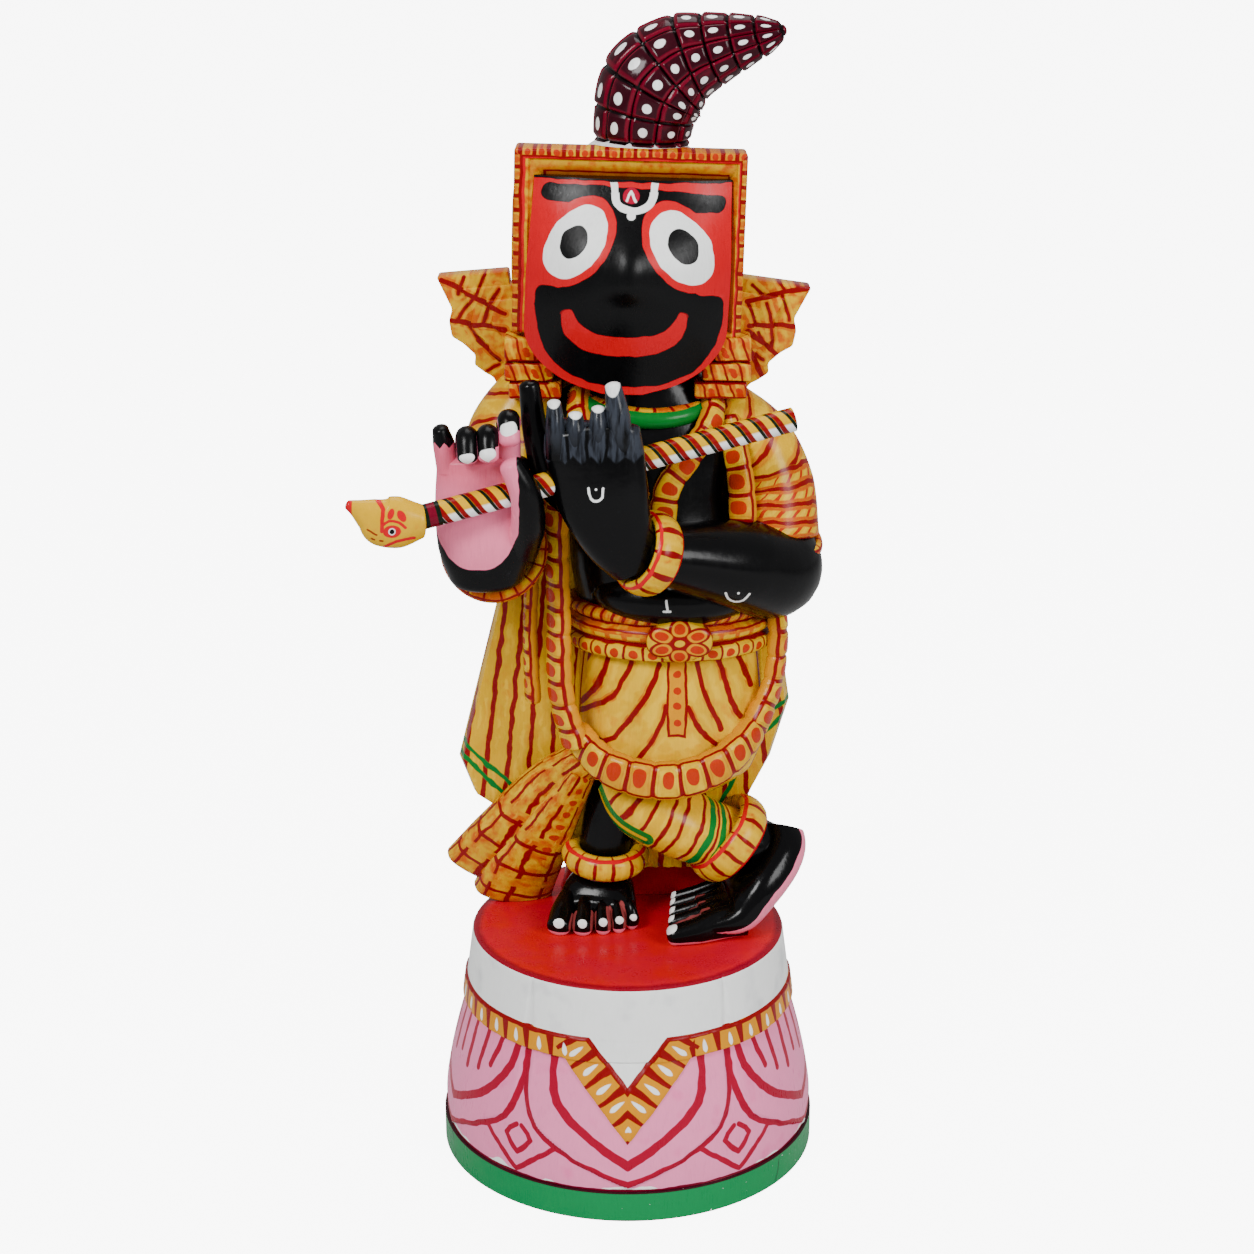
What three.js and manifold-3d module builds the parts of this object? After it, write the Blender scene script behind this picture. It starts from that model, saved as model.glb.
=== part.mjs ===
// A painted wooden temple figure: a flute player with a square crowned head, on a lotus pedestal.
// Millimetres, +Z up, the viewer looks along +Y. The origin is the centre of the pedestal's underside.
import * as THREE from "three";
import { mergeVertices } from "three/addons/utils/BufferGeometryUtils.js";
import Module from "manifold-3d";

const wasm = await Module();
wasm.setup();

// Pedestal
const PEDESTAL_HEIGHT = 122.5;
const PEDESTAL_FOOT_RADIUS = 100;
const PEDESTAL_TOP_RADIUS = 81.4;
const RIM_HEIGHT = 16.5;
const RIM_STEP = 1.6;
const CLOTH_HEIGHT = 26.5;
const CLOTH_FLARE = 5;
const TRIM_HEIGHT = 12;
const TRIM_RELIEF = 2.5;
const PETAL_COUNT = 5;
const PETAL_RELIEF = 1.3;
const POINT_HALF_WIDTH = 20.4;
const POINT_DROP = 26;
const POINT_BORDER = 17;

// Figure: its carving is measured in parts, of which its height holds FIGURE_PARTS
const FIGURE_HEIGHT = 412;
const FIGURE_PARTS = 412;

// Flute
const FLUTE_DIAMETER = 12;
const FLUTE_LENGTH = 189;
const BIRD_LENGTH = 31;

// Crest: its carving is measured in parts, of which its height holds CREST_PARTS
const CREST_HEIGHT = 62;
const CREST_PARTS = 62;
const CREST_ROWS = 9;
const CREST_SIDES = 11;

// Air between pieces that touch
const GAP = 0.3;
// How far a corner may stand off a face and still be merged into it
const FLATNESS = 0.15;

const v3 = (x, y, z) => new THREE.Vector3(x, y, z);
const mix = (a, b, t) => a + (b - a) * t;
const smooth = (t) => THREE.MathUtils.smoothstep(t, 0, 1);
const power = (value, exponent) => Math.sign(value) * Math.abs(value) ** exponent;
const joined = (solids) => solids.reduce((all, one) => all.add(one));

// Solid of vertices and triangles, turned right side out.
function solidOf(vertProperties, triVerts) {
  const make = () => new wasm.Manifold(new wasm.Mesh({ numProp: 3, vertProperties, triVerts }));
  const made = make();
  if (made.volume() > 0) return made;
  for (let i = 0; i < triVerts.length; i += 3) {
    [triVerts[i + 1], triVerts[i + 2]] = [triVerts[i + 2], triVerts[i + 1]];
  }
  return make();
}

// Closed BufferGeometry as a solid.
function solidFrom(geometry) {
  const bare = geometry.index ? geometry.toNonIndexed() : geometry.clone();
  bare.deleteAttribute("normal");
  bare.deleteAttribute("uv");
  const merged = mergeVertices(bare, 1e-4);
  return solidOf(merged.attributes.position.array, new Uint32Array(merged.index.array));
}

// Closed skin over rings of equal point count, with a fan over each end.
function skin(rings) {
  const count = rings[0].length;
  const last = rings.length - 1;
  const middle = (ring) => ring.reduce((sum, p) => sum.add(p), v3(0, 0, 0)).divideScalar(count);
  const points = [...rings.flat(), middle(rings[0]), middle(rings[last])];
  const start = points.length - 2;
  const faces = [];
  for (let i = 0; i < count; i++) {
    const next = (i + 1) % count;
    for (let k = 0; k < last; k++) {
      const [a, b] = [k * count + i, k * count + next];
      faces.push(a, b, b + count, a, b + count, a + count);
    }
    faces.push(start, next, i);
    faces.push(start + 1, last * count + i, last * count + next);
  }
  return solidOf(new Float32Array(points.flatMap((p) => p.toArray())), new Uint32Array(faces));
}

// Rounded bar through stations [x, y, z, half width, half depth]. Its depth lies along facing, or along
// facing(centre) where that is a function. Squareness 2 is an ellipse, and more is boxier. ends are how far
// each end domes out, as a share of its smaller half size.
function limb(stations, { facing = [0, -1, 0], sides = 8, squareness = 2, ends = [0.6, 0.6] } = {}) {
  const spine = new THREE.CatmullRomCurve3(stations.map(([x, y, z]) => v3(x, y, z)));
  const girth = new THREE.CatmullRomCurve3(stations.map(([, , , w, d]) => v3(w, d, 0)));
  const section = (t, push, shrink) => {
    const along = spine.getTangent(t);
    const centre = spine.getPoint(t);
    const size = girth.getPoint(t).multiplyScalar(shrink);
    const out = typeof facing === "function" ? facing(centre) : v3(...facing);
    out.addScaledVector(along, -out.dot(along)).normalize();
    const side = along.clone().cross(out);
    centre.addScaledVector(along, push);
    return Array.from({ length: sides }, (_, i) => {
      const angle = (2 * Math.PI * (i + 0.5)) / sides;
      return centre
        .clone()
        .addScaledVector(side, size.x * power(Math.cos(angle), 2 / squareness))
        .addScaledVector(out, size.y * power(Math.sin(angle), 2 / squareness));
    });
  };
  const dome = (t, amount) => {
    const size = girth.getPoint(t);
    return section(t, Math.min(size.x, size.y) * amount, 0.66);
  };
  const rings = stations.map((_, k) => section(k / (stations.length - 1), 0, 1));
  if (ends[0]) rings.unshift(dome(0, -ends[0]));
  if (ends[1]) rings.push(dome(1, ends[1]));
  return skin(rings);
}

// Upright body through rows [x, y, z, half width, half depth, pleat], with pleats that stand in and out.
function column(rows, sides) {
  const rings = rows.map(([x, y, z, wide, deep, pleat = 0]) =>
    Array.from({ length: sides }, (_, i) => {
      const angle = (2 * Math.PI * i) / sides;
      const fold = i % 2 ? pleat : -pleat;
      return v3(x + (wide + fold) * Math.cos(angle), y + (deep + fold) * Math.sin(angle), z);
    }),
  );
  return skin(rings);
}

// Ellipsoid.
function egg(centre, radii, across = 14, down = 6) {
  const ball = new THREE.SphereGeometry(1, across, down);
  ball.rotateX(Math.PI / 2);
  ball.scale(...radii);
  ball.translate(...centre);
  return solidFrom(ball);
}

// Band round a centre, elliptical in plan, with its axis along normal: thickness is [outward, along].
function band(centre, normal, radii, thickness) {
  const torus = new THREE.TorusGeometry(1, thickness[0] / radii[0], 4, 14);
  torus.scale(radii[0], radii[1], (thickness[1] * radii[0]) / thickness[0]);
  torus.applyQuaternion(new THREE.Quaternion().setFromUnitVectors(v3(0, 0, 1), v3(...normal).normalize()));
  torus.translate(...centre);
  return solidFrom(torus);
}

// Outline [x, z] extruded from the plane y = front to y = back, with its edges eased by bevel.
function slab(outline, front, back, bevel = 0) {
  const shape = new THREE.Shape(outline.map(([x, z]) => new THREE.Vector2(x, z)));
  const geometry = new THREE.ExtrudeGeometry(shape, {
    depth: back - front - 2 * bevel,
    bevelEnabled: bevel > 0,
    bevelThickness: bevel,
    bevelSize: bevel,
    bevelOffset: -bevel,
    bevelSegments: 1,
  });
  geometry.rotateX(Math.PI / 2);
  geometry.translate(0, back - bevel, 0);
  return solidFrom(geometry);
}

// Corners [x, z] of an upright rectangle.
const rectangle = (left, right, low, high) => [
  [left, low],
  [right, low],
  [right, high],
  [left, high],
];

// Solid of revolution about Z over a profile of [radius, z] that starts and ends on the axis.
function turned(profile, around = 36) {
  const lathe = new THREE.LatheGeometry(profile.map(([r, z]) => new THREE.Vector2(r, z)), around);
  lathe.rotateX(Math.PI / 2);
  return solidFrom(lathe);
}

// Radius of the pedestal at height z, before any relief: a bell below the trim's foot, a straight drum above.
const trimTop = PEDESTAL_HEIGHT - CLOTH_HEIGHT;
const trimFoot = trimTop - TRIM_HEIGHT;
const drumFoot = PEDESTAL_TOP_RADIUS + CLOTH_FLARE;
const bellFoot = PEDESTAL_FOOT_RADIUS - RIM_STEP;
function pedestalRadius(z) {
  const drum = (z - trimFoot) / (PEDESTAL_HEIGHT - trimFoot);
  if (drum > 0) return mix(drumFoot, PEDESTAL_TOP_RADIUS, drum);
  const bell = Math.max(0, (z - RIM_HEIGHT) / (trimFoot - RIM_HEIGHT));
  return mix(bellFoot, drumFoot - PETAL_RELIEF, bell ** 1.6);
}

// Slice of the pedestal between two heights, stood out by relief.
function pedestalSlice(low, high, relief, steps) {
  const side = Array.from({ length: steps + 1 }, (_, k) => {
    const z = mix(low, high, k / steps);
    return [pedestalRadius(z) + relief, z];
  });
  return turned([[0, low], ...side, [0, high]]);
}

// Petal outline [x, z], hanging from the trim, broad-shouldered and ending in a point.
function petalOutline() {
  const reach = pedestalRadius((RIM_HEIGHT + trimFoot) / 2) * Math.sin((0.95 * Math.PI) / PETAL_COUNT);
  const tip = RIM_HEIGHT + 2;
  const side = [
    [0.9, 1.1],
    [0.97, 0.55],
    [0.86, 0.4],
    [0.45, 0.17],
  ].map(([x, z]) => [reach * x, mix(tip, trimFoot, z)]);
  return [...side, [0, tip], ...side.map(([x, z]) => [-x, z]).reverse()];
}

// Wedge, point down, that reaches through the pedestal's wall at the front and at the back.
function pointWedge(halfWidth, tip) {
  const reach = PEDESTAL_FOOT_RADIUS + 20;
  const outline = [
    [-halfWidth, trimTop],
    [0, tip],
    [halfWidth, trimTop],
  ];
  const core = slab(rectangle(-reach, reach, 0, PEDESTAL_HEIGHT), -reach / 2, reach / 2);
  return slab(outline, -reach, reach).subtract(core);
}

function pedestalSolid() {
  const rim = turned([
    [0, 0],
    [PEDESTAL_FOOT_RADIUS, 0],
    [PEDESTAL_FOOT_RADIUS, RIM_HEIGHT],
    [0, RIM_HEIGHT],
  ]);
  const bell = pedestalSlice(RIM_HEIGHT - 1, trimFoot, 0, 4);
  const drum = pedestalSlice(trimFoot - 1, PEDESTAL_HEIGHT, 0, 1);
  const petals = Array.from({ length: PETAL_COUNT }, (_, k) => {
    const cutter = slab(petalOutline(), -PEDESTAL_FOOT_RADIUS - 20, 0);
    const turn = (360 / PETAL_COUNT) * k;
    return cutter.rotate([0, 0, turn]).intersect(pedestalSlice(RIM_HEIGHT - 1, trimFoot + 1, PETAL_RELIEF, 2));
  });
  const trim = pedestalSlice(trimFoot, trimTop, TRIM_RELIEF, 1);
  const apron = pedestalSlice(RIM_HEIGHT + 1, trimTop, TRIM_RELIEF, 3);
  const cloth = pedestalSlice(RIM_HEIGHT, trimTop + 1, TRIM_RELIEF / 2, 3);
  const slope = POINT_DROP / POINT_HALF_WIDTH;
  const tip = trimTop - POINT_DROP;
  const borderTip = tip - POINT_BORDER * Math.hypot(1, slope);
  const border = pointWedge((trimTop - borderTip) / slope, borderTip);
  const point = pointWedge(POINT_HALF_WIDTH, tip);
  const whole = joined([rim, bell, drum, ...petals, trim, apron.intersect(border)]);
  return whole.subtract(apron.intersect(point).subtract(cloth));
}

// Parts of the figure. Coordinates are in parts: x to the viewer's right, y away from the viewer, z above
// the pedestal's top.
const HEAD = { x: 0.6, half: 57.6, top: 408, foot: 318, front: -8, back: 54, tilt: 1.6 };
const FACE = { x: 0.5, lean: 2.5, half: 50, top: 395, chin: 292, back: 12, bulge: 37 };
const WAIST = { x: 22, y: 12 };

// How far the face stands out at a share across (-1 to 1) and a share up (0 at the chin, 1 at the brow).
function faceDepth(across, up) {
  const muzzle = mix(0.7, 1, smooth(up / 0.5));
  const brow = mix(1, 0.42, smooth((up - 0.57) / 0.5));
  const round = 1 - 0.62 * Math.abs(across) ** 2.4;
  const ridge = smooth((up - 0.42) / 0.12) * (1 - smooth((up - 0.6) / 0.4));
  const nose = 0.16 * Math.exp(-((across / 0.22) ** 2)) * ridge;
  return FACE.bulge * (Math.min(muzzle, brow) * round + nose);
}

// Half width of the face at a share up from the chin: sides that draw in a little over a round jaw.
function faceHalf(up) {
  const jaw = Math.sqrt(Math.max(0.04, 1 - Math.max(0, 1 - up / 0.3) ** 2));
  return FACE.half * jaw * mix(1, 0.96, smooth((up - 0.5) / 0.5));
}

function faceSolid() {
  const columns = 10;
  const rings = [0, 0.05, 0.14, 0.28, 0.42, 0.52, 0.6, 0.76, 1].map((up) => {
    const z = mix(FACE.chin, FACE.top, up);
    const half = faceHalf(up);
    const middle = FACE.x + FACE.lean * up;
    const front = Array.from({ length: columns + 1 }, (_, i) => {
      const across = mix(-1, 1, i / columns);
      return v3(middle + half * across, FACE.back - 10 - faceDepth((across * half) / FACE.half, up), z);
    });
    return [...front, v3(middle + half, FACE.back, z), v3(middle - half, FACE.back, z)];
  });
  return skin(rings);
}

// Square crown: a frame round the face with a raised border, over the round back of the head.
function crownSolid() {
  const { x, half, top, foot, front, back } = HEAD;
  const opening = (inset) => rectangle(x - half + inset, x + half - inset / 2, foot - 20, top - inset);
  const box = slab(rectangle(x - half, x + half, foot, top), front, front + 24, 1.5);
  const recess = slab(opening(7), front - 5, front + 1.5).add(slab(opening(12), front - 5, front + 6));
  const middle = (top + foot) / 2;
  const high = (top - foot) / 2;
  const skull = limb(
    [
      [x, front + 14, middle, half - 1, high - 2],
      [x, front + 30, middle - 1, half - 4, high - 7],
      [x, back - 8, middle - 4, half - 14, high - 16],
    ],
    { facing: [0, 0, 1], sides: 12, squareness: 5, ends: [0, 0.6] },
  );
  const nape = limb(
    [
      [x + 1, 20, 296, 38, 27],
      [x + 1, 24, 330, 46, 30],
    ],
    { sides: 10, squareness: 3, ends: [0.3, 0] },
  );
  return joined([box, skull]).subtract(recess).add(nape);
}

// Low dome on the crown that the crest stands on.
const seat = (grow = 0) => egg([HEAD.x + 5, 23, HEAD.top - 6], [28 + grow, 24 + grow, 12 + grow]);

// Wing beside the head: layers of scalloped feathers, the smaller ones standing out.
function wingSolid(side) {
  const feathers = [
    [58, 344],
    [94, 340],
    [86, 324],
    [86, 310],
    [74, 301],
    [69, 292],
    [62, 285],
    [50, 292],
  ];
  const root = [48, 322];
  const layer = (share, front, back) => {
    const outline = feathers.map(([x, z]) => [side * mix(root[0], x, share), mix(root[1], z, share)]);
    return slab(outline, front, back, 2);
  };
  return joined([layer(1, 18, 34), layer(0.72, 14, 30), layer(0.45, 10, 26)]);
}

// Stacked blocks of the ear drops, between the crown and the shoulder.
function earDrops(side) {
  const rows = [
    [52, 4, 311, 9, 6],
    [49, 2, 300, 12, 4.5],
    [46, 1, 291, 13, 4],
  ];
  const block = ([x, y, z, wide, high]) =>
    slab(rectangle(side * x - wide, side * x + wide, z - high, z + high), y - 13, y + 13, 1.5);
  return joined(rows.map(block));
}

// Leaned to the viewer's right about the middle of the crown's top, as the whole head is.
function tilted(solid) {
  const pivot = [HEAD.x, 0, HEAD.top];
  const back = pivot.map((value) => -value);
  return solid.translate(back).rotate([0, HEAD.tilt, 0]).translate(pivot);
}

function torsoSolid() {
  const trunk = column(
    [
      [22, 14, 148, 47, 34],
      [21, 12, 172, 47, 37],
      [18, 10, 195, 47, 37],
      [13, 12, 232, 44, 33],
      [10, 14, 262, 50, 31],
      [8, 15, 284, 44, 26],
      [8, 12, 298, 24, 22],
      [5, 12, 318, 23, 22],
    ],
    16,
  );
  return trunk.add(band([9, 10, 286], [0.05, -0.35, 1], [31, 25], [6, 5]));
}

// Shawl that hangs behind the body, with its folds running down.
const SHAWL_FOLDS = 8;
const SHAWL_FOLD_DEPTH = 1.6;
function shawlSolid() {
  const count = 2 * SHAWL_FOLDS;
  // Each row is [z, left edge, right edge, middle of the back].
  const rings = [
    [292, -50, 56, 44],
    [275, -66, 64, 50],
    [235, -67, 75, 55],
    [174, -68, 77, 58],
    [118, -82, 85.5, 61],
    [86, -90, 76, 61],
    [66, -82.5, 66, 60],
    [42, -46, 57, 56],
    [24, -8, 45, 52],
  ].map(([z, left, right, back]) => {
    const backRow = Array.from({ length: count + 1 }, (_, i) => {
      const t = i / count;
      const bow = Math.sqrt(Math.max(0, 1 - (2 * t - 1) ** 2));
      const fold = (i % 2 ? -1 : 1) * SHAWL_FOLD_DEPTH;
      return v3(mix(left, right, t), mix(24, back, bow) + fold * bow, z);
    });
    const frontRow = [0.86, 0.14].map((t) => v3(mix(left, right, t), 16, z));
    return [...backRow, ...frontRow];
  });
  return skin(rings);
}

// Skirt with pleats that fan out from the waist.
function skirtSolid() {
  const { x, y } = WAIST;
  return column(
    [
      [x, y, 166, 46, 34],
      [x, y, 128, 49, 41, 1.2],
      [x, y, 104, 49, 43, 1.5],
      [x, y, 88, 44, 38, 1],
      [x, y, 76, 30, 24],
    ],
    26,
  );
}

// Belt of three rolls with a flower boss in front.
function beltSolid() {
  const rows = [
    [182, 46, 34],
    [180, 53, 41],
    [175, 53.5, 41.5],
    [173, 50.5, 38.5],
    [171, 53, 41],
    [166, 53.5, 41.5],
    [164, 51, 39],
    [162, 54.5, 43],
    [156, 54, 43],
    [154, 46, 36],
  ];
  const rolls = column(rows.map(([z, wide, deep]) => [WAIST.x, WAIST.y, z, wide, deep]), 18);
  const boss = limb(
    [
      [WAIST.x + 4, -27, 166, 13, 10],
      [WAIST.x + 4, -33, 166, 12, 9],
    ],
    { facing: [0, 0, 1], ends: [0, 0.3] },
  );
  return rolls.add(boss);
}

// Direction from the body's upright axis out to a point.
const outward = (centre) => v3(centre.x - WAIST.x, centre.y - WAIST.y, 0);

// Flat strand that lies on the body, its outer face turned away from the body's axis.
const strand = (stations, facing = outward) =>
  limb(stations, { facing, sides: 6, squareness: 3, ends: [0.4, 0.4] });

// Long garland: down the left side, round the thighs and up the right side, with a tassel beside it.
function garlandSolid() {
  const left = strand([
    [-30, -14, 272, 6.5, 4],
    [-35, -17, 235, 7, 5],
    [-35, -19, 180, 7.5, 5],
    [-34, -19, 135, 8, 5.5],
    [-27, -20, 108, 8.5, 5.5],
  ]);
  const swag = strand([
    [-27, -14, 112, 8.5, 6],
    [-12, -29, 98, 9.5, 6],
    [8, -37, 91, 10, 6],
    [28, -37, 90, 10, 6],
    [48, -31, 96, 9.5, 6],
    [65, -15, 109, 8.5, 6],
    [72, 2, 122, 8, 6],
  ]);
  const right = strand([
    [66, -14, 116, 8, 5.5],
    [75, -6, 138, 7, 5],
    [77, -4, 168, 6.5, 5],
    [74, 0, 186, 6, 4],
  ]);
  const tassel = strand([
    [-47, -6, 215, 4.5, 3.5],
    [-50, -7, 170, 4.5, 3.5],
    [-49, -8, 128, 6, 4],
  ]);
  return joined([left, swag, right, tassel]);
}

// Necklace that hangs from the neck over the chest.
function necklaceSolid() {
  const forward = (centre) => v3(centre.x - 10, centre.y - 30, 0);
  const right = strand(
    [
      [42, 2, 289, 6, 5],
      [42, -10, 278, 6, 5],
      [32, -20, 262, 6, 5],
      [20, -24, 245, 6.5, 5],
      [17, -25, 228, 7, 5],
    ],
    forward,
  );
  const left = strand(
    [
      [-24, 2, 289, 6, 5],
      [-24, -10, 276, 6, 5],
      [-14, -20, 258, 6, 5],
      [6, -25, 238, 6.5, 5],
    ],
    forward,
  );
  return right.add(left);
}

// Sleeved upper arm, hem and bare forearm of the arm on the viewer's right.
function leftArmSolid() {
  const sleeve = limb(
    [
      [49, 16, 278, 14, 17],
      [66, 14, 260, 18, 20],
      [73, 12, 238, 22, 23],
      [74, 7, 213, 24, 25],
    ],
    { sides: 12, ends: [0.6, 0.25] },
  );
  const hem = band([74, 5, 214], [0.28, -0.2, 1], [24, 26], [3, 4]);
  const fold = strand(
    [
      [50, -4, 276, 6, 4],
      [56, -12, 250, 6.5, 5],
      [58, -16, 226, 7, 5],
    ],
    () => v3(-0.6, -1, 0),
  );
  const forearm = limb(
    [
      [75, 8, 204, 23, 23],
      [74, -2, 197, 25, 25],
      [56, -20, 204, 24.5, 23],
      [28, -38, 213, 20, 18],
      [4, -50, 219, 16, 13],
    ],
    { facing: [0, 0, 1], sides: 12, ends: [0.6, 0] },
  );
  const cuff = band([15, -45, 218], [-0.86, -0.48, 0.14], [20, 20], [4, 8]);
  return joined([sleeve, hem, fold, forearm, cuff]);
}

// Hand seen from its back, fingers up, thumb towards the other hand.
function leftHandSolid() {
  const palm = limb(
    [
      [4, -50, 216, 15, 12],
      [-5, -56, 230, 18, 11.5],
      [-12, -60, 250, 22.5, 11],
      [-16, -61, 270, 24, 9.5],
      [-17, -61, 282, 23, 8],
    ],
    { sides: 12, squareness: 2.4, ends: [0, 0.5] },
  );
  // Each finger is [x of its root, x of its tip, z of its tip, half width].
  const fingers = [
    [-34, -35, 299, 4.8],
    [-24.5, -25, 293, 5.2],
    [-14, -14, 296, 5],
    [-2.5, -7, 307, 5.8],
  ].map(([from, to, tip, half]) =>
    limb(
      [
        [from, -62, 270, half + 0.7, 7],
        [mix(from, to, 0.5), -63, mix(270, tip, 0.55), half, 6.5],
        [to, -62, tip - 3, half * 0.7, 4.5],
      ],
      { sides: 6, ends: [0, 0.6] },
    ),
  );
  const thumb = limb(
    [
      [-18, -52, 240, 9, 9],
      [-36, -52, 254, 8, 8],
      [-44, -51, 278, 6.5, 7],
      [-47, -51, 302, 5, 5],
    ],
    { sides: 6, ends: [0, 0.6] },
  );
  return joined([palm, ...fingers, thumb]);
}

// Sleeve, hem and forearm of the arm on the viewer's left, which points forward.
function rightArmSolid() {
  const sleeve = limb(
    [
      [-48, 18, 284, 18, 17],
      [-60, 15, 264, 21, 21],
      [-64, 8, 240, 23, 24],
      [-67, -2, 214, 25, 24],
    ],
    { sides: 12, ends: [0.6, 0.75] },
  );
  const hem = band([-67, -22, 214], [0, -1, 0.35], [24, 25], [3.2, 3.5]);
  const forearm = limb(
    [
      [-67, -6, 212, 22, 21],
      [-68, -28, 212, 21.5, 19],
      [-69, -46, 222, 20, 15],
    ],
    { facing: [0, -0.2, 1], sides: 10, ends: [0, 0.6] },
  );
  return joined([sleeve, hem, forearm]);
}

// Open hand with its palm to the viewer and its fingers curled over.
function rightHandSolid() {
  const palm = limb(
    [
      [-69.5, -46, 208, 18.5, 14],
      [-69.7, -52, 224, 22.8, 12],
      [-69.8, -53, 246, 23.5, 9],
      [-69.8, -54, 266, 22, 9],
    ],
    { sides: 12, squareness: 2.5, ends: [0.5, 0.4] },
  );
  const curl = (x, rise, reach) =>
    limb(
      [
        [x, -54, 262, 5.6, 7],
        [x, -56, rise - 5, 5.6, 6.5],
        [x + 0.5, -56 - reach * 0.6, rise, 5.4, 5],
        [x + 1, -56 - reach, rise - 9, 5, 4.5],
      ],
      { facing: [0, -0.7, 0.7], sides: 6, ends: [0, 0.6] },
    );
  const littleFinger = limb(
    [
      [-86.5, -54, 262, 5.6, 7],
      [-88, -56, 274, 5.4, 6.5],
      [-89.5, -57, 282, 4, 5],
    ],
    { sides: 6, ends: [0, 0.6] },
  );
  const thumb = limb(
    [
      [-52, -52, 222, 9, 9],
      [-48, -63, 238, 8.5, 8.5],
      [-49, -70, 254, 7.5, 7.5],
      [-55, -72, 268, 6, 6],
    ],
    { ends: [0, 0.6] },
  );
  return joined([palm, littleFinger, curl(-77, 280, 14), curl(-67, 281, 15), curl(-57, 288, 12), thumb]);
}

// Straight leg on the viewer's left with its anklet and foot.
function standingLegSolid() {
  const shin = limb(
    [
      [6, 14, 92, 18, 18],
      [-6, 14, 66, 15, 15],
      [-12, 12, 38, 14, 14],
      [-14, 14, 14, 16, 17],
    ],
    { sides: 10, ends: [0, 0] },
  );
  const anklet = band([-12, 10, 35], [0.05, -0.12, 1], [18, 18], [5.5, 7]);
  const instep = limb(
    [
      [-14, 26, 10, 14, 12],
      [-15, 8, 12, 19, 15],
      [-17, -8, 7, 23, 9],
    ],
    { facing: [0, 0, 1], sides: 10, squareness: 2.6 },
  );
  // Each toe is [x, y of its tip, half width].
  const toes = [
    [-36.5, -25, 7.2],
    [-24, -24.5, 6],
    [-13, -22.5, 4.8],
    [-4.5, -20, 4.2],
    [3, -16, 3.8],
  ].map(([x, tip, half]) =>
    limb(
      [
        [mix(x, -17, 0.35), -2, 5, half, 8],
        [x, tip + half, 4.5, half, 5.5],
      ],
      { facing: [0, 0, 1], sides: 6, ends: [0, 0.6] },
    ),
  );
  return joined([shin, anklet, instep, ...toes]);
}

// Leg that crosses in front, under the skirt's hem, to the anklet and the raised heel.
function crossedLegSolid() {
  const leg = limb(
    [
      [-4, 0, 82, 14, 18],
      [8, -8, 66, 20, 22],
      [26, -9, 55, 21, 23],
      [44, -5, 46, 19, 20],
      [62, 0, 41, 16, 17],
    ],
    { sides: 12, ends: [0, 0] },
  );
  const anklet = band([57, -3, 46], [0.76, 0.1, -0.63], [21, 21], [5, 8.5]);
  const sole = limb(
    [
      [80, 11, 48.5, 15, 12],
      [78, 4, 37, 20, 13],
      [66, -2, 20.5, 25, 12],
      [47.5, -5, 10, 28, 9],
      [34, -6, 6, 27, 7],
    ],
    { facing: [-0.6, 0, 0.8], sides: 12, squareness: 2.5 },
  );
  // Each toe is [y, half width].
  const toes = [
    [-29, 6.4],
    [-16, 4.6],
    [-5, 4.2],
    [6, 4],
    [15, 3.8],
  ].map(([y, half], k) =>
    limb(
      [
        [40, y + 1, 6, half, 6.5],
        [mix(23, 25, k / 4), y, 4.5, half, 5.5],
      ],
      { facing: [0, 0, 1], sides: 6, ends: [0, 0.6] },
    ),
  );
  return joined([leg, anklet, sole, ...toes]);
}

// Flared end of the sash that sweeps back to the pedestal on the viewer's left.
function sashSolid() {
  const style = { facing: [0.35, -1, 0.3], squareness: 2.6, ends: [0, 0.6] };
  const upper = limb(
    [
      [-22, -6, 96, 10, 7],
      [-42, 6, 74, 15, 8],
      [-64, 20, 39.5, 21, 9],
      [-78, 30, 18, 23, 8],
    ],
    style,
  );
  const lower = limb(
    [
      [-24, -4, 88, 8, 7],
      [-40, 10, 56, 14, 9],
      [-55.5, 24, 25, 20.5, 10],
      [-63, 32, 4, 22, 9],
    ],
    style,
  );
  return upper.add(lower);
}

// Web of wood left behind the legs, from the pedestal to the shawl's hem.
const webSolid = () =>
  limb(
    [
      [12, 46, -2, 42, 12],
      [14, 44, 20, 36, 12],
      [20, 42, 50, 34, 12],
    ],
    { sides: 10, squareness: 3, ends: [0, 0] },
  );

// Everything carved in the figure's block, standing on z = 0.
function figureBlock() {
  const head = tilted(joined([crownSolid(), faceSolid(), seat(), wingSolid(-1), wingSolid(1)]));
  const drops = earDrops(-1).add(earDrops(1));
  const body = joined([torsoSolid(), shawlSolid(), skirtSolid(), beltSolid(), garlandSolid(), necklaceSolid()]);
  const arms = joined([leftArmSolid(), leftHandSolid(), rightArmSolid(), rightHandSolid()]);
  const legs = joined([standingLegSolid(), crossedLegSolid(), sashSolid(), webSolid()]);
  const ground = slab(rectangle(-FIGURE_PARTS, FIGURE_PARTS, -FIGURE_PARTS, 0), -FIGURE_PARTS, FIGURE_PARTS);
  return joined([body, arms, legs, head, drops]).subtract(ground);
}

// Carving in parts, at its size and standing on the pedestal.
const scale = FIGURE_HEIGHT / FIGURE_PARTS;
const figureFoot = PEDESTAL_HEIGHT + GAP;
const inPlace = (solid) => solid.scale(scale).translate([0, 0, figureFoot]);

// Line of the flute in the figure's parts: where the bird's neck starts, and which way the open end lies.
const FLUTE_FROM = v3(-99, -76, 243.5);
const FLUTE_ALONG = v3(178, 44, 37.5).normalize();

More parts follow.
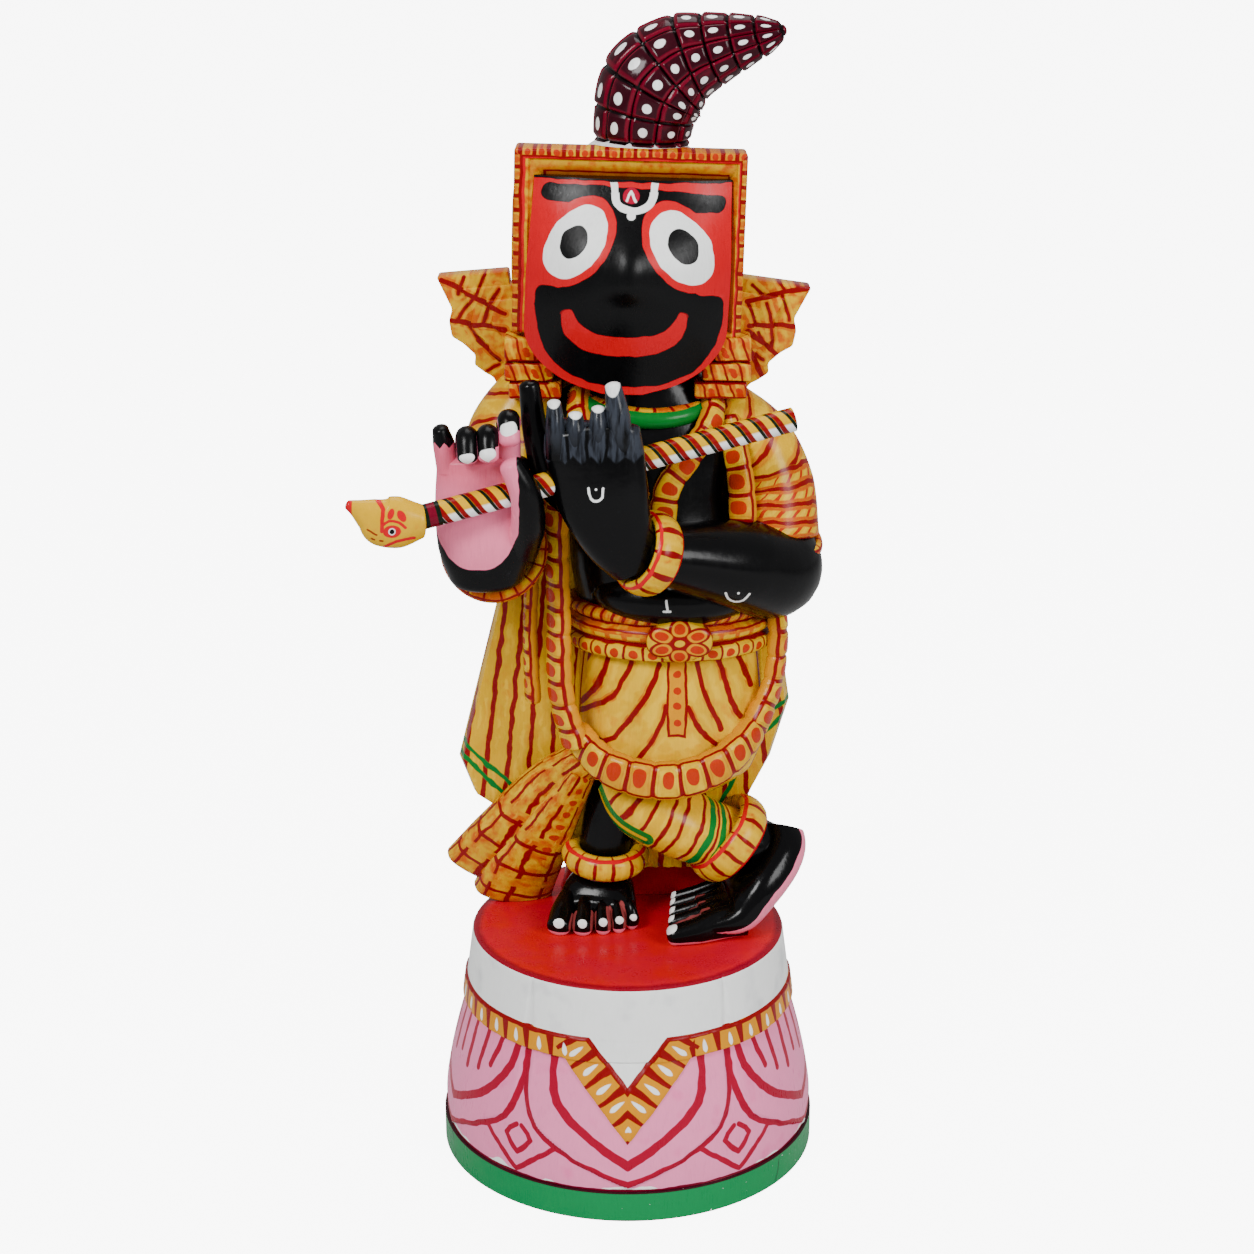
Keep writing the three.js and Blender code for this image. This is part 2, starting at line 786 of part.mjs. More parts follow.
// The flute's own frame set on its line: its +Z runs from the bird's neck to the open end.
function onFlute(solid) {
  const turn = new THREE.Matrix4().lookAt(FLUTE_ALONG, v3(0, 0, 0), v3(0, 0, 1));
  const place = FLUTE_FROM.clone().multiplyScalar(scale).add(v3(0, 0, figureFoot));
  return solid.transform(new THREE.Matrix4().setPosition(place).multiply(turn).toArray());
}

function fluteRod(radius, overrun = 0) {
  const profile = [
    [0, -overrun],
    [radius, -overrun],
    [radius, FLUTE_LENGTH + overrun],
    [0, FLUTE_LENGTH + overrun],
  ];
  return turned(profile, 16);
}

// Bird's head on the flute's end, its beak turned up.
function birdSolid() {
  const k = BIRD_LENGTH;
  return limb(
    [
      [0, -0.06 * k, 1, 7.6, 8.2],
      [0, 0.02 * k, -0.33 * k, 7.6, 12.6],
      [0, 0.11 * k, -0.57 * k, 6.6, 12.2],
      [0, 0.28 * k, -0.76 * k, 5, 7.8],
      [0, 0.42 * k, -0.92 * k, 3.4, 4],
      [0, 0.49 * k, -1.01 * k, 2.2, 2.4],
    ],
    { facing: [0, 1, 0], sides: 10, ends: [0.2, 0.5] },
  );
}

// Horned crest: rows of scales that overlap upwards, bent towards the viewer's right, cut to sit on the crown.
function crestSolid() {
  // Each station is [x, y, z above the crown's top, half width, half depth].
  const stations = [
    [7, 24, -9, 22.5, 20],
    [7.5, 23, 12, 25, 22],
    [12, 22, 28, 27.2, 23.5],
    [24, 21, 40, 24, 20.5],
    [38, 19, 46.2, 19, 16.5],
    [54, 15, 51.5, 13.5, 11],
    [66, 12, 55, 9, 7.5],
    [73, 10, 57.3, 4.6, 4],
  ];
  const k = CREST_HEIGHT / CREST_PARTS / scale;
  const spine = new THREE.CatmullRomCurve3(stations.map(([x, y, z]) => v3(x, y, z).multiplyScalar(k)));
  const girth = new THREE.CatmullRomCurve3(stations.map(([, , , w, d]) => v3(w, d, 0).multiplyScalar(k)));
  const section = (t, shrink) => {
    const along = spine.getTangent(t);
    const out = v3(0, -1, 0).addScaledVector(along, along.y).normalize();
    const side = along.clone().cross(out);
    const size = girth.getPoint(t);
    return Array.from({ length: CREST_SIDES }, (_, i) => {
      const angle = (2 * Math.PI * (i + 0.5)) / CREST_SIDES;
      return spine
        .getPoint(t)
        .addScaledVector(side, shrink * size.x * Math.cos(angle))
        .addScaledVector(out, shrink * size.y * Math.sin(angle));
    });
  };
  const rows = Array.from({ length: CREST_ROWS }, (_, row) => [
    section(row / CREST_ROWS, 1.015),
    section((row + 0.85) / CREST_ROWS, 1),
    section((row + 0.97) / CREST_ROWS, 0.94),
  ]);
  const horn = skin([...rows.flat(), section(1, 1)]).translate([0, 0, HEAD.top]);
  const air = GAP / scale;
  const reach = 2 * CREST_PARTS;
  const below = slab(rectangle(-reach, reach, HEAD.top - reach, HEAD.top + air), -reach, reach);
  return inPlace(tilted(horn.subtract(seat(air)).subtract(below)));
}

// Solid without the pockets of air that its own parts close off, and without the slivers left by its joins.
function finished(solid) {
  const shells = solid.decompose().filter((shell) => shell.volume() > 0);
  return joined(shells).asOriginal().simplify(FLATNESS);
}

// Solid back as a named mesh in its own paint.
function piece(name, solid, color, roughness) {
  const made = finished(solid).getMesh();
  const positions = new Float32Array(made.numVert * 3);
  for (let i = 0; i < positions.length; i++) {
    positions[i] = made.vertProperties[Math.floor(i / 3) * made.numProp + (i % 3)];
  }
  const geometry = new THREE.BufferGeometry();
  geometry.setAttribute("position", new THREE.BufferAttribute(positions, 3));
  geometry.setIndex(new THREE.BufferAttribute(new Uint32Array(made.triVerts), 1));
  geometry.computeVertexNormals();
  const mesh = new THREE.Mesh(geometry, new THREE.MeshStandardMaterial({ color, roughness, metalness: 0 }));
  mesh.name = name;
  return mesh;
}

const fluteBody = onFlute(birdSolid().add(fluteRod(FLUTE_DIAMETER / 2)));
const fluteBore = onFlute(fluteRod(FLUTE_DIAMETER / 2 + GAP, 2));
const figureBody = inPlace(figureBlock()).subtract(fluteBore);

const root = new THREE.Group();
root.add(piece("pedestal", pedestalSolid(), 0xf0a8c4, 0.35));
root.add(piece("figure", figureBody, 0xf2b01c, 0.3));
root.add(piece("flute", fluteBody, 0xe8c02a, 0.3));
root.add(piece("crest", crestSolid(), 0x7a1030, 0.25));

export default root;
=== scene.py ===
import math
from collections import Counter
from functools import reduce

import bpy
import numpy as np
from mathutils import Euler, Matrix, Vector


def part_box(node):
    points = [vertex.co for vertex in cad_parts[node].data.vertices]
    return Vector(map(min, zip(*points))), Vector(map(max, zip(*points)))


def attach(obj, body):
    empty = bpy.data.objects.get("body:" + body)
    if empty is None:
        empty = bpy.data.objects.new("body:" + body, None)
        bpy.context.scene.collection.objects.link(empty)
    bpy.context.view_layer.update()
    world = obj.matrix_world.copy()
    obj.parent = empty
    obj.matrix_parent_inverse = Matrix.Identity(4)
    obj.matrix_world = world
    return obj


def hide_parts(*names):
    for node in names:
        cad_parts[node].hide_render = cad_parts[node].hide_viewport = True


bl_info = {
    "name": "Painted Temple Figure",
    "version": (1, 0, 0),
    "blender": (4, 5, 0),
    "location": "View3D > Sidebar > Temple Figure",
    "description": "A painted wooden flute player with a square crown and a horned crest",
    "category": "Object",
}

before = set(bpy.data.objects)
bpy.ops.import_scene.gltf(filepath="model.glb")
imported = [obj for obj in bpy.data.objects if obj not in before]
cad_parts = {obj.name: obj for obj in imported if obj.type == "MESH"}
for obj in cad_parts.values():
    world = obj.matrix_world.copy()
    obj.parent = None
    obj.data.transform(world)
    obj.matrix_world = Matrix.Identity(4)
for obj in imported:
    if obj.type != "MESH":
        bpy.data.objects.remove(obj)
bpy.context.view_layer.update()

# The carving is measured in parts of a millimetre above the pedestal's top, as in the solids.
PART = 0.001
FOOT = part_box("figure")[0][2]
FRONT = (0.0, -1.0, 0.0)
UP = (0.0, 0.0, 1.0)
HEAD = {"x": 0.6, "half": 57.6, "top": 408.0, "foot": 318.0, "front": -8.0, "back": 54.0, "tilt": 1.6}
FACE = {"x": 0.5, "lean": 2.5, "half": 50.0, "top": 395.0, "chin": 292.0, "back": 12.0, "bulge": 37.0}
WAIST = (22.0, 12.0)

# The crest's round seat: how far its middle lies under the crown's top, and its radii.
SEAT_SINK = 6.2
SEAT = np.array([28.0, 24.0, 12.0])
SEAT_AIR = 0.3

# A torus primitive's roll, as a share of its radius
ROLL = 0.25

# Stage
WHITE = (1, 1, 1, 1)
FLOOR_GREY = (0.55, 0.55, 0.55)
FLOOR_GLOW = 8
SKY_GLOW = 7
SKY_LIGHT = 0.45
LAMPS = (
    ("key", (-1.2, -1.8, 2.0), 0.8, 58),
    ("fill", (1.6, -1.6, 1.3), 0.9, 38),
    ("top", (0.1, 0.5, 2.4), 1.2, 20),
)
LAMP_AIM = Vector((0, 0, 0.3))
CAMERA_PLACE = (-0.0004, -1.1779, 0.6634)
CAMERA_DROP = math.radians(17.69)
LENS_MM = 68.9
SENSOR_MM = 36


def linear(code):
    """Linear colour of a web colour such as "#ffcc00"."""
    parts = [int(code[k:k + 2], 16) / 255 for k in (1, 3, 5)]
    return tuple(c / 12.92 if c < 0.04045 else ((c + 0.055) / 1.055) ** 2.4 for c in parts)


def colour_setting(name, description, code):
    """Colour property with a web colour as its default."""
    return bpy.props.FloatVectorProperty(
        name=name, description=description, subtype="COLOR", size=3, min=0, max=1, default=linear(code))


class TempleFigurePaints(bpy.types.PropertyGroup):
    """Colours of the enamel paints."""
    black: colour_setting("Black", "Skin of the figure", "#040405")
    # Grey laid in soft dabs over the black skin: a painted reflection.
    painted_sheen: colour_setting("Sheen", "Grey brush marks on the black", "#16181d")
    # Steel is the grey-blue painted highlight on the fingers.
    finger_highlight: colour_setting("Steel", "Grey-blue of the fingers", "#3c414b")
    # Soot is the near-black painted shade in the grooves between the crest's scales.
    crest_groove_shade: colour_setting("Soot", "Grooves of the crest", "#0c0204")
    yellow: colour_setting("Yellow", "Dress and ornaments", "#daa800")
    # Cream is laid as light strokes of paint, and on the skirt, shawl and sleeves also as painted
    # highlight.
    cream_and_highlight: colour_setting("Cream", "Light strokes on the yellow", "#eabc1c")
    amber: colour_setting("Amber", "Deeper yellow of the cloth and the border", "#d68c00")
    orange: colour_setting("Orange", "Shaded parts of the dress", "#c65a00")
    dot: colour_setting("Dot", "Orange-red dots in the garlands", "#b82c00")
    line: colour_setting("Line", "Dark red outlines", "#86040a")
    red: colour_setting("Red", "Face, mouth and brush strokes", "#cc0016")
    rose: colour_setting("Rose", "Lighter red of the face", "#d01c28")
    ground: colour_setting("Ground", "Pedestal's top", "#c80028")
    green: colour_setting("Green", "Borders of the cloth", "#007026")
    dark_green: colour_setting("Dark green", "Thin stripes of the flute", "#08180a")
    pink: colour_setting("Pink", "Palms and soles", "#f27c9c")
    # Brown is painted shade between the toes.
    toe_gap_shade: colour_setting("Brown", "Shade between the toes", "#8c3c3c")
    white: colour_setting("White", "Eyes, nails and the pedestal's cloth", "#f8faf8")
    dust: colour_setting("Dust", "Grey patches on the white", "#dee0e1")
    lotus: colour_setting("Lotus", "Pink of the pedestal", "#f688b4")
    blush: colour_setting("Blush", "Deeper pink of the pedestal", "#ee70a4")
    petal: colour_setting("Petal line", "Outlines of the petals", "#a4002c")
    rim: colour_setting("Rim", "Green rim of the pedestal", "#00884a")
    maroon: colour_setting("Maroon", "Scales of the crest", "#300310")
    # Crimson is a colour of the flute and the pedestal, and on the crest's scale edges a painted highlight.
    crimson: colour_setting("Crimson", "Edges of the crest's scales", "#6c0420")


class TempleFigureSizes(bpy.types.PropertyGroup):
    """Sizes that the finer carving and the painting follow."""
    shake: bpy.props.FloatProperty(
        name="Brush shake", description="How far a painted line strays", default=0.0006,
        min=0, max=0.003, unit="LENGTH", subtype="DISTANCE")
    cell: bpy.props.FloatProperty(
        name="Garland cell", description="Length of one cell of a garland", default=0.013,
        min=0.005, max=0.03, unit="LENGTH", subtype="DISTANCE")
    around: bpy.props.IntProperty(
        name="Sides", description="Faces round an arm or a leg", default=40, min=16, max=96)
    crest_rows: bpy.props.IntProperty(
        name="Crest rows", description="Rows of scales on the crest", default=9, min=4, max=16)
    crest_columns: bpy.props.IntProperty(
        name="Crest columns", description="Scales in a row of the crest", default=11, min=6, max=20)


def paints():
    return bpy.context.scene.temple_figure_paints


def sizes():
    return bpy.context.scene.temple_figure_sizes


# Shapes

def standing(points):
    """Points in parts, at their place in metres."""
    return np.asarray(points) * PART + np.array([0, 0, FOOT])


def leaning(points):
    """Points in parts, leaned with the head, at their place in metres."""
    turn = np.array(Matrix.Rotation(math.radians(HEAD["tilt"]), 3, "Y"))
    pivot = np.array([HEAD["x"], 0, HEAD["top"]])
    return standing((np.asarray(points) - pivot) @ turn.T + pivot)


def select_only(piece):
    """Leaves one object selected and active."""
    bpy.ops.object.select_all(action="DESELECT")
    piece.select_set(True)
    bpy.context.view_layer.objects.active = piece


def primitive(kind, location=(0, 0, 0), **shape):
    """Adds a primitive, with everything else deselected."""
    bpy.ops.object.select_all(action="DESELECT")
    getattr(bpy.ops.mesh, f"primitive_{kind}_add")(location=location, **shape)
    return bpy.context.object


def tidy_mesh(piece, merge=1e-6):
    """Merges doubled corners and turns the faces outwards."""
    select_only(piece)
    bpy.ops.object.mode_set(mode="EDIT")
    bpy.ops.mesh.select_all(action="SELECT")
    bpy.ops.mesh.remove_doubles(threshold=merge)
    bpy.ops.mesh.normals_make_consistent(inside=False)
    bpy.ops.object.mode_set(mode="OBJECT")


def painted(piece, paint, name="part"):
    """Gives a piece one paint and its name."""
    piece.name = name
    piece.data.materials.clear()
    piece.data.materials.append(paint_of(paint))
    return piece


def wrapped(rings, across, along, paint, name="part"):
    """Closed skin over rings of points in metres. The first and last ring close at a point. UV x is across,
    one value for each point of a ring and the last one for its seam, and UV y is along."""
    count, around = rings.shape[:2]
    piece = primitive("grid", x_subdivisions=around, y_subdivisions=count - 1, size=1)
    mesh = piece.data
    places = np.empty(len(mesh.vertices) * 3)
    mesh.vertices.foreach_get("co", places)
    column = np.rint((places[0::3] + 0.5) * around).astype(int)
    row = np.rint((places[1::3] + 0.5) * (count - 1)).astype(int)
    mesh.vertices.foreach_set("co", rings[row, column % around].ravel())
    chart = np.empty(len(mesh.loops) * 2)
    mesh.uv_layers[0].data.foreach_get("uv", chart)
    chart[0::2] = np.asarray(across)[np.rint(chart[0::2] * around).astype(int)]
    chart[1::2] = np.asarray(along)[np.rint(chart[1::2] * (count - 1)).astype(int)]
    mesh.uv_layers[0].data.foreach_set("uv", chart)
    tidy_mesh(piece)
    return painted(piece, paint, name)


def spline(points, steps):
    """Smooth curve through points, steps to a span: its points and their unit directions."""
    padded = np.vstack([2 * points[0] - points[1], points, 2 * points[-1] - points[-2]])
    places = []
    slopes = []
    for k in range(len(points) - 1):
        p0, p1, p2, p3 = padded[k:k + 4]
        gaps = [max(1e-4, np.linalg.norm(b - a) ** 0.5) for a, b in ((p0, p1), (p1, p2), (p2, p3))]
        m1 = ((p1 - p0) / gaps[0] - (p2 - p0) / (gaps[0] + gaps[1]) + (p2 - p1) / gaps[1]) * gaps[1]
        m2 = ((p2 - p1) / gaps[1] - (p3 - p1) / (gaps[1] + gaps[2]) + (p3 - p2) / gaps[2]) * gaps[1]
        stops = np.arange(steps + (k == len(points) - 2)) / steps
        t = stops[:, None]
        a = -2 * (p2 - p1) + m1 + m2
        b = 3 * (p2 - p1) - 2 * m1 - m2
        places.append(p1 + t * (m1 + t * (b + t * a)))
        slopes.append(m1 + t * (2 * b + 3 * t * a))
    places = np.vstack(places)
    slopes = np.vstack(slopes)
    return places, slopes / np.maximum(1e-9, np.linalg.norm(slopes, axis=1, keepdims=True))


def loft(stations, paint, facing=FRONT, around=None, steps=8, squareness=2.0, ends=(0.6, 0.6),
         relief=None, level=False, place=standing):
    """Rounded bar through stations (x, y, z, half width, half depth). Its depth lies along facing, or
    along facing(centres) where that is a function. Squareness 2 is an ellipse, and more is boxier. ends
    are how far each end domes out, as a share of its smaller half size. relief(u, v, run) stands the skin
    out, for u round the bar (0.5 in front), v from 0 to 1 along it and run in parts. A level bar keeps its
    sections flat."""
    around = around or sizes().around
    table = np.array(stations, dtype=float)
    centres, along = spline(table[:, :3], steps)
    half = spline(table[:, 3:5], steps)[0]
    if level:
        along = np.tile(UP, (len(centres), 1))
    out = np.array(facing(centres) if callable(facing) else np.tile(facing, (len(centres), 1)), dtype=float)
    out -= along * (out * along).sum(axis=1, keepdims=True)
    out /= np.linalg.norm(out, axis=1, keepdims=True)
    side = np.cross(along, out)
    run = np.concatenate([[0], np.cumsum(np.linalg.norm(np.diff(centres, axis=0), axis=1))])
    u = np.arange(around) / around
    angle = 2 * math.pi * u - math.pi / 2
    cos = np.sign(np.cos(angle)) * np.abs(np.cos(angle)) ** (2 / squareness)
    sin = np.sign(np.sin(angle)) * np.abs(np.sin(angle)) ** (2 / squareness)
    lift = relief(u[None, :], (run / run[-1])[:, None], run[:, None]) if relief else 0
    wide = (half[:, :1] + lift) * cos
    deep = (half[:, 1:] + lift) * sin
    rings = centres[:, None] + wide[..., None] * side[:, None] + deep[..., None] * out[:, None]

    def dome(k, amount):
        """Rings from ring k to the pole of its dome."""
        reach = half[k].min() * amount
        turns = np.linspace(0, math.pi / 2, 6)[1:] if amount else [math.pi / 2]
        shape = rings[k] - centres[k]
        return [centres[k] + along[k] * reach * math.sin(a) + shape * max(0, math.cos(a)) for a in turns]

    start = dome(0, -ends[0])[::-1]
    finish = dome(-1, ends[1])
    first = -half[0].min() * ends[0] * np.linspace(1, 0, len(start) + 1)[:-1]
    last = run[-1] + half[-1].min() * ends[1] * np.linspace(0, 1, len(finish) + 1)[1:]
    lengths = np.concatenate([first, run, last]) * PART
    rings = np.concatenate([np.array(start), rings, np.array(finish)])
    for pole in (0, -1):
        rings[pole] = rings[pole].mean(axis=0)
    return wrapped(place(rings), np.append(u, 1), lengths, paint)


def ball(centre, radii, paint, place=standing):
    """Ellipsoid."""
    piece = primitive("uv_sphere", segments=48, ring_count=24, radius=1)
    settle(piece, lambda points: place(points * np.array(radii) + np.array(centre)))
    return painted(piece, paint)


def settle(piece, move):
    """Moves all corners of a piece by move(points)."""
    mesh = piece.data
    points = np.empty(len(mesh.vertices) * 3)
    mesh.vertices.foreach_get("co", points)
    mesh.vertices.foreach_set("co", np.asarray(move(points.reshape(-1, 3))).ravel())
    mesh.update()


def hoop(centre, normal, radii, thickness, paint, relief=None, place=standing):
    """Roll round a centre, elliptical in plan, with its axis along normal: thickness is (outward, along).
    relief(turn) swells the roll, for turn from 0 to 1 round the axis."""
    piece = primitive("torus", major_segments=96, minor_segments=16, major_radius=1, minor_radius=ROLL)
    turn = np.array(Vector(UP).rotation_difference(Vector(normal)).to_matrix())

    def shape(points):
        angle = np.arctan2(points[:, 1], points[:, 0])
        reach = (np.hypot(points[:, 0], points[:, 1]) - 1) / ROLL
        swell = 1 + (relief(angle / (2 * math.pi) % 1) if relief else 0)
        far = np.array(radii)[:, None] + reach * swell * thickness[0]
        high = points[:, 2] / ROLL * swell * thickness[1]
        flat = np.stack([far[0] * np.cos(angle), far[1] * np.sin(angle), high])
        return place(flat.T @ turn.T + np.array(centre))

    settle(piece, shape)
    return painted(piece, paint)


def plate(outline, front, back, paint, ease=1.0, place=standing):
    """Outline (x, z) as a plate from the plane y = front to y = back, with its edges eased."""
    piece = primitive("circle", vertices=len(outline), fill_type="NGON")
    flat = np.array([(x, front, z) for x, z in outline])
    settle(piece, lambda points: flat)
    select_only(piece)
    bpy.ops.object.mode_set(mode="EDIT")
    bpy.ops.mesh.select_all(action="SELECT")
    bpy.ops.mesh.extrude_region_move(TRANSFORM_OT_translate={"value": (0, back - front, 0)})
    bpy.ops.mesh.select_all(action="SELECT")
    bpy.ops.mesh.normals_make_consistent(inside=False)
    if ease:
        bpy.ops.mesh.bevel(offset=ease, segments=2, affect="EDGES")
    bpy.ops.object.mode_set(mode="OBJECT")
    settle(piece, place)
    return painted(piece, paint)


def combine(name, parts, operation="UNION"):
    """Joins or cuts solid parts in one, each face keeping its own paint."""
    whole = parts[0]
    select_only(whole)
    for part in parts[1:]:
        step = whole.modifiers.new("join", "BOOLEAN")
        step.operation = operation
        step.solver = "MANIFOLD"
        step.material_mode = "TRANSFER"
        step.object = part
        bpy.ops.object.modifier_apply(modifier=step.name)
        bpy.data.objects.remove(part)
    whole.name = name
    return whole


def drop_flaps(piece):
    """Deletes pairs of faces that lie back to back on the same corners, which a join can leave."""
    select_only(piece)
    bpy.ops.object.mode_set(mode="EDIT")
    bpy.ops.mesh.select_all(action="DESELECT")
    bpy.ops.object.mode_set(mode="OBJECT")
    faces = piece.data.polygons
    corners = [tuple(sorted(face.vertices)) for face in faces]
    times = Counter(corners)
    for face, key in zip(faces, corners):
        face.select = times[key] > 1
    bpy.ops.object.mode_set(mode="EDIT")
    bpy.ops.mesh.delete(type="FACE")
    bpy.ops.object.mode_set(mode="OBJECT")


def smoothed(piece, degrees):
    """Shades a piece smooth, with creases sharper than an angle kept."""
    select_only(piece)
    bpy.ops.object.shade_smooth_by_angle(angle=math.radians(degrees), keep_sharp_edges=False)
    return piece


def share(value):
    """Smooth step from 0 to 1."""
    t = np.clip(value, 0, 1)
    return t * t * (3 - 2 * t)


def groove(way, width):
    """Depth, from 0 to 1, of a groove at each whole number of a way."""
    return np.exp(-((np.abs(way % 1 - 0.5) - 0.5) / width) ** 2)


def hollowed(count, depth):
    """Relief of a strand cut in cells by count grooves along its length."""
    return lambda u, v, run: -depth * groove(v * count, 0.09) + 0 * u


def cut_in_cells(depth=0.9):
    """Relief of a strand cut in cells of the garland's length."""
    cell = sizes().cell / PART
    return lambda u, v, run: -depth * groove(run / cell, 0.09) + 0 * u


# Head

def face_depth(across, up):
    """How far the face stands out, at a share across (-1 to 1) and up (0 at the chin, 1 at the brow)."""
    muzzle = 0.7 + 0.3 * share(up / 0.5)
    brow = 1 - 0.58 * share((up - 0.57) / 0.5)
    round_off = 1 - 0.62 * np.abs(across) ** 2.4
    ridge = share((up - 0.42) / 0.12) * (1 - share((up - 0.6) / 0.4))
    nose = 0.16 * np.exp(-((across / 0.22) ** 2)) * ridge
    return FACE["bulge"] * (np.minimum(muzzle, brow) * round_off + nose)


def face_part():
    """Face with its muzzle, nose ridge and round jaw."""
    front = 56
    levels = np.concatenate([np.linspace(0, 0.3, 22), np.linspace(0.3, 1, 40)[1:]])
    jaw = np.sqrt(np.maximum(0.04, 1 - np.maximum(0, 1 - levels / 0.3) ** 2))
    half = FACE["half"] * jaw * (1 - 0.04 * share((levels - 0.5) / 0.5))
    rings = []
    for up, wide in zip(levels, half):
        z = FACE["chin"] + (FACE["top"] - FACE["chin"]) * up
        across = np.linspace(-1, 1, front + 1)
        depth = FACE["back"] - 10 - face_depth(across * wide / FACE["half"], up)
        middle = FACE["x"] + FACE["lean"] * up
        arc = np.stack([middle + wide * across, depth, np.full(front + 1, z)], axis=1)
        back = np.linspace(1, -1, 13)
        line = np.stack([middle + wide * back, np.full(13, FACE["back"]), np.full(13, z)], axis=1)
        rings.append(np.vstack([arc, line]))
    rings = np.array(rings)
    under = rings[0].mean(axis=0)
    caps = [under + (rings[0] - under) * k + np.array([0, 0, -1.2 * (1 - k * k)]) for k in (0, 0.35, 0.7)]
    over = rings[-1].mean(axis=0)
    rings = np.concatenate([np.array(caps), rings, np.array([over + 0 * rings[-1]])])
    around = rings.shape[1]
    along = np.arange(len(rings)) / len(rings)
    return wrapped(leaning(rings), np.arange(around + 1) / around, along, "face")


def crown_parts():
    """Square crown: a frame round the face with a raised border, over the round back of the head."""
    x, half, top, foot, front = (HEAD[k] for k in ("x", "half", "top", "foot", "front"))
    frame_piece = primitive("cube", size=1)
    size = np.array([2 * half, 24, top - foot])
    settle(frame_piece, lambda p: p * size + np.array([x, front + 12, (top + foot) / 2]))
    select_only(frame_piece)
    mesh = frame_piece.data
    bpy.ops.object.mode_set(mode="EDIT")
    bpy.ops.mesh.select_all(action="SELECT")
    bpy.ops.mesh.bevel(offset=1.6, segments=3, affect="EDGES")
    bpy.ops.mesh.select_all(action="DESELECT")
    bpy.ops.object.mode_set(mode="OBJECT")
    for face in mesh.polygons:
        face.select = face.normal.y < -0.99 and face.area > 2000
    bpy.ops.object.mode_set(mode="EDIT")
    for thick, deep in ((5.2, 0), (0.8, 1.4), (1.2, 0.4), (3.6, 4.2), (0.4, 0.4)):
        bpy.ops.mesh.inset(thickness=thick, depth=0)
        bpy.ops.transform.translate(value=(0, deep, 0))
    bpy.ops.object.mode_set(mode="OBJECT")

    def narrowed(points):
        """Border thinner at the top and on the right, and hardly there below."""
        steps = [0, 2, 5.2, 6.0, 7.2, 10.8, 11.2]
        right = np.interp(x + half - points[:, 0], [*steps, 200], [0, 2, 2.6, 3.6, 5.0, 5.9, 6.3, 200])
        up = np.interp(top - points[:, 2], [*steps, 78.8, 79.2, 82.8, 84, 84.8, 88, 90],
                       [0, 2, 2.8, 3.8, 5.0, 10.8, 11.2, 87.0, 87.2, 87.5, 87.8, 88.0, 88.2, 90])
        return np.stack([x + half - right, points[:, 1], top - up], axis=1)

    settle(frame_piece, narrowed)
    settle(frame_piece, leaning)
    crown = painted(frame_piece, "crown")
    middle = (top + foot) / 2
    high = (top - foot) / 2
    skull = loft([
        (x, front + 14, middle, half - 1, high - 2), (x, front + 30, middle - 1, half - 4, high - 7),
        (x, HEAD["back"] - 8, middle - 4, half - 14, high - 16),
    ], "crown_back", facing=UP, squareness=5, ends=(0, 0.6), around=96, place=leaning)
    nape = loft([
        (x + 1, 20, 296, 38, 27), (x + 1, 24, 330, 46, 30),
    ], "crown_back", squareness=3, ends=(0.3, 0), place=leaning)
    seat = ball((x + 5, 23, top - SEAT_SINK), SEAT, "seat", place=leaning)
    return [crown, skull, nape, seat, face_part()]


def wing_parts(side):
    """Wing beside the head: layers of scalloped feathers, the smaller ones standing out."""
    feathers = np.array([
        (58, 344), (94, 340), (91.5, 335), (86, 324), (87.5, 318), (86, 310), (80, 306.5), (74, 301),
        (74.5, 296), (69, 292), (65, 290), (62, 285), (50, 292)], dtype=float)
    root = np.array([48, 322], dtype=float)
    parts = []
    for size, front, back in ((1, 18, 34), (0.72, 14, 30), (0.45, 10, 26)):
        outline = root + (feathers - root) * size
        outline[:, 0] *= side
        parts.append(plate(outline, front, back, "wing", ease=1.2, place=leaning))
    return parts


def ear_drop_parts(side):
    """Stacked blocks of the ear drops, between the crown and the shoulder."""
    parts = []
    for x, y, z, wide, high in ((52, 4, 311, 9, 6), (49, 2, 300, 12, 4.5), (46, 1, 291, 13, 4)):
        left, right = side * x - wide, side * x + wide
        outline = [(left, z - high), (right, z - high), (right, z + high), (left, z + high)]
        parts.append(plate(outline, y - 13, y + 13, "ear_drop", ease=1.3))
    return parts


# Body

def outward(centres):
    """Direction from the body's upright axis out to each point."""
    away = np.array(centres) - np.array([WAIST[0], WAIST[1], 0])
    away[:, 2] = 0
    return away


def strand(stations, paint, facing=outward, relief=None, steps=10):
    """Flat strand that lies on the body, its outer face turned away from the body's axis."""
    return loft(stations, paint, facing, 24, steps, squareness=3, ends=(0.4, 0.4), relief=relief)


def digit(stations, paint, **more):
    """Finger or toe with a round tip."""
    return loft(stations, paint, around=28, ends=(0, 0.6), **more)


def torso_parts():
    trunk = loft([
        (22, 14, 148, 47, 34), (21, 12, 172, 47, 37), (18, 10, 195, 47, 37), (13, 12, 232, 44, 33),
        (10, 14, 262, 50, 31), (8, 15, 284, 44, 26), (8, 12, 298, 24, 22), (5, 12, 318, 23, 22),
    ], "skin", around=72, level=True, ends=(0, 0))
    belly = ball((24, -9, 187), (42, 28, 17), "skin")
    collar = hoop((9, 10, 286), (0.05, -0.35, 1), (31, 25), (6, 5), "collar")
    return [trunk, belly, collar]


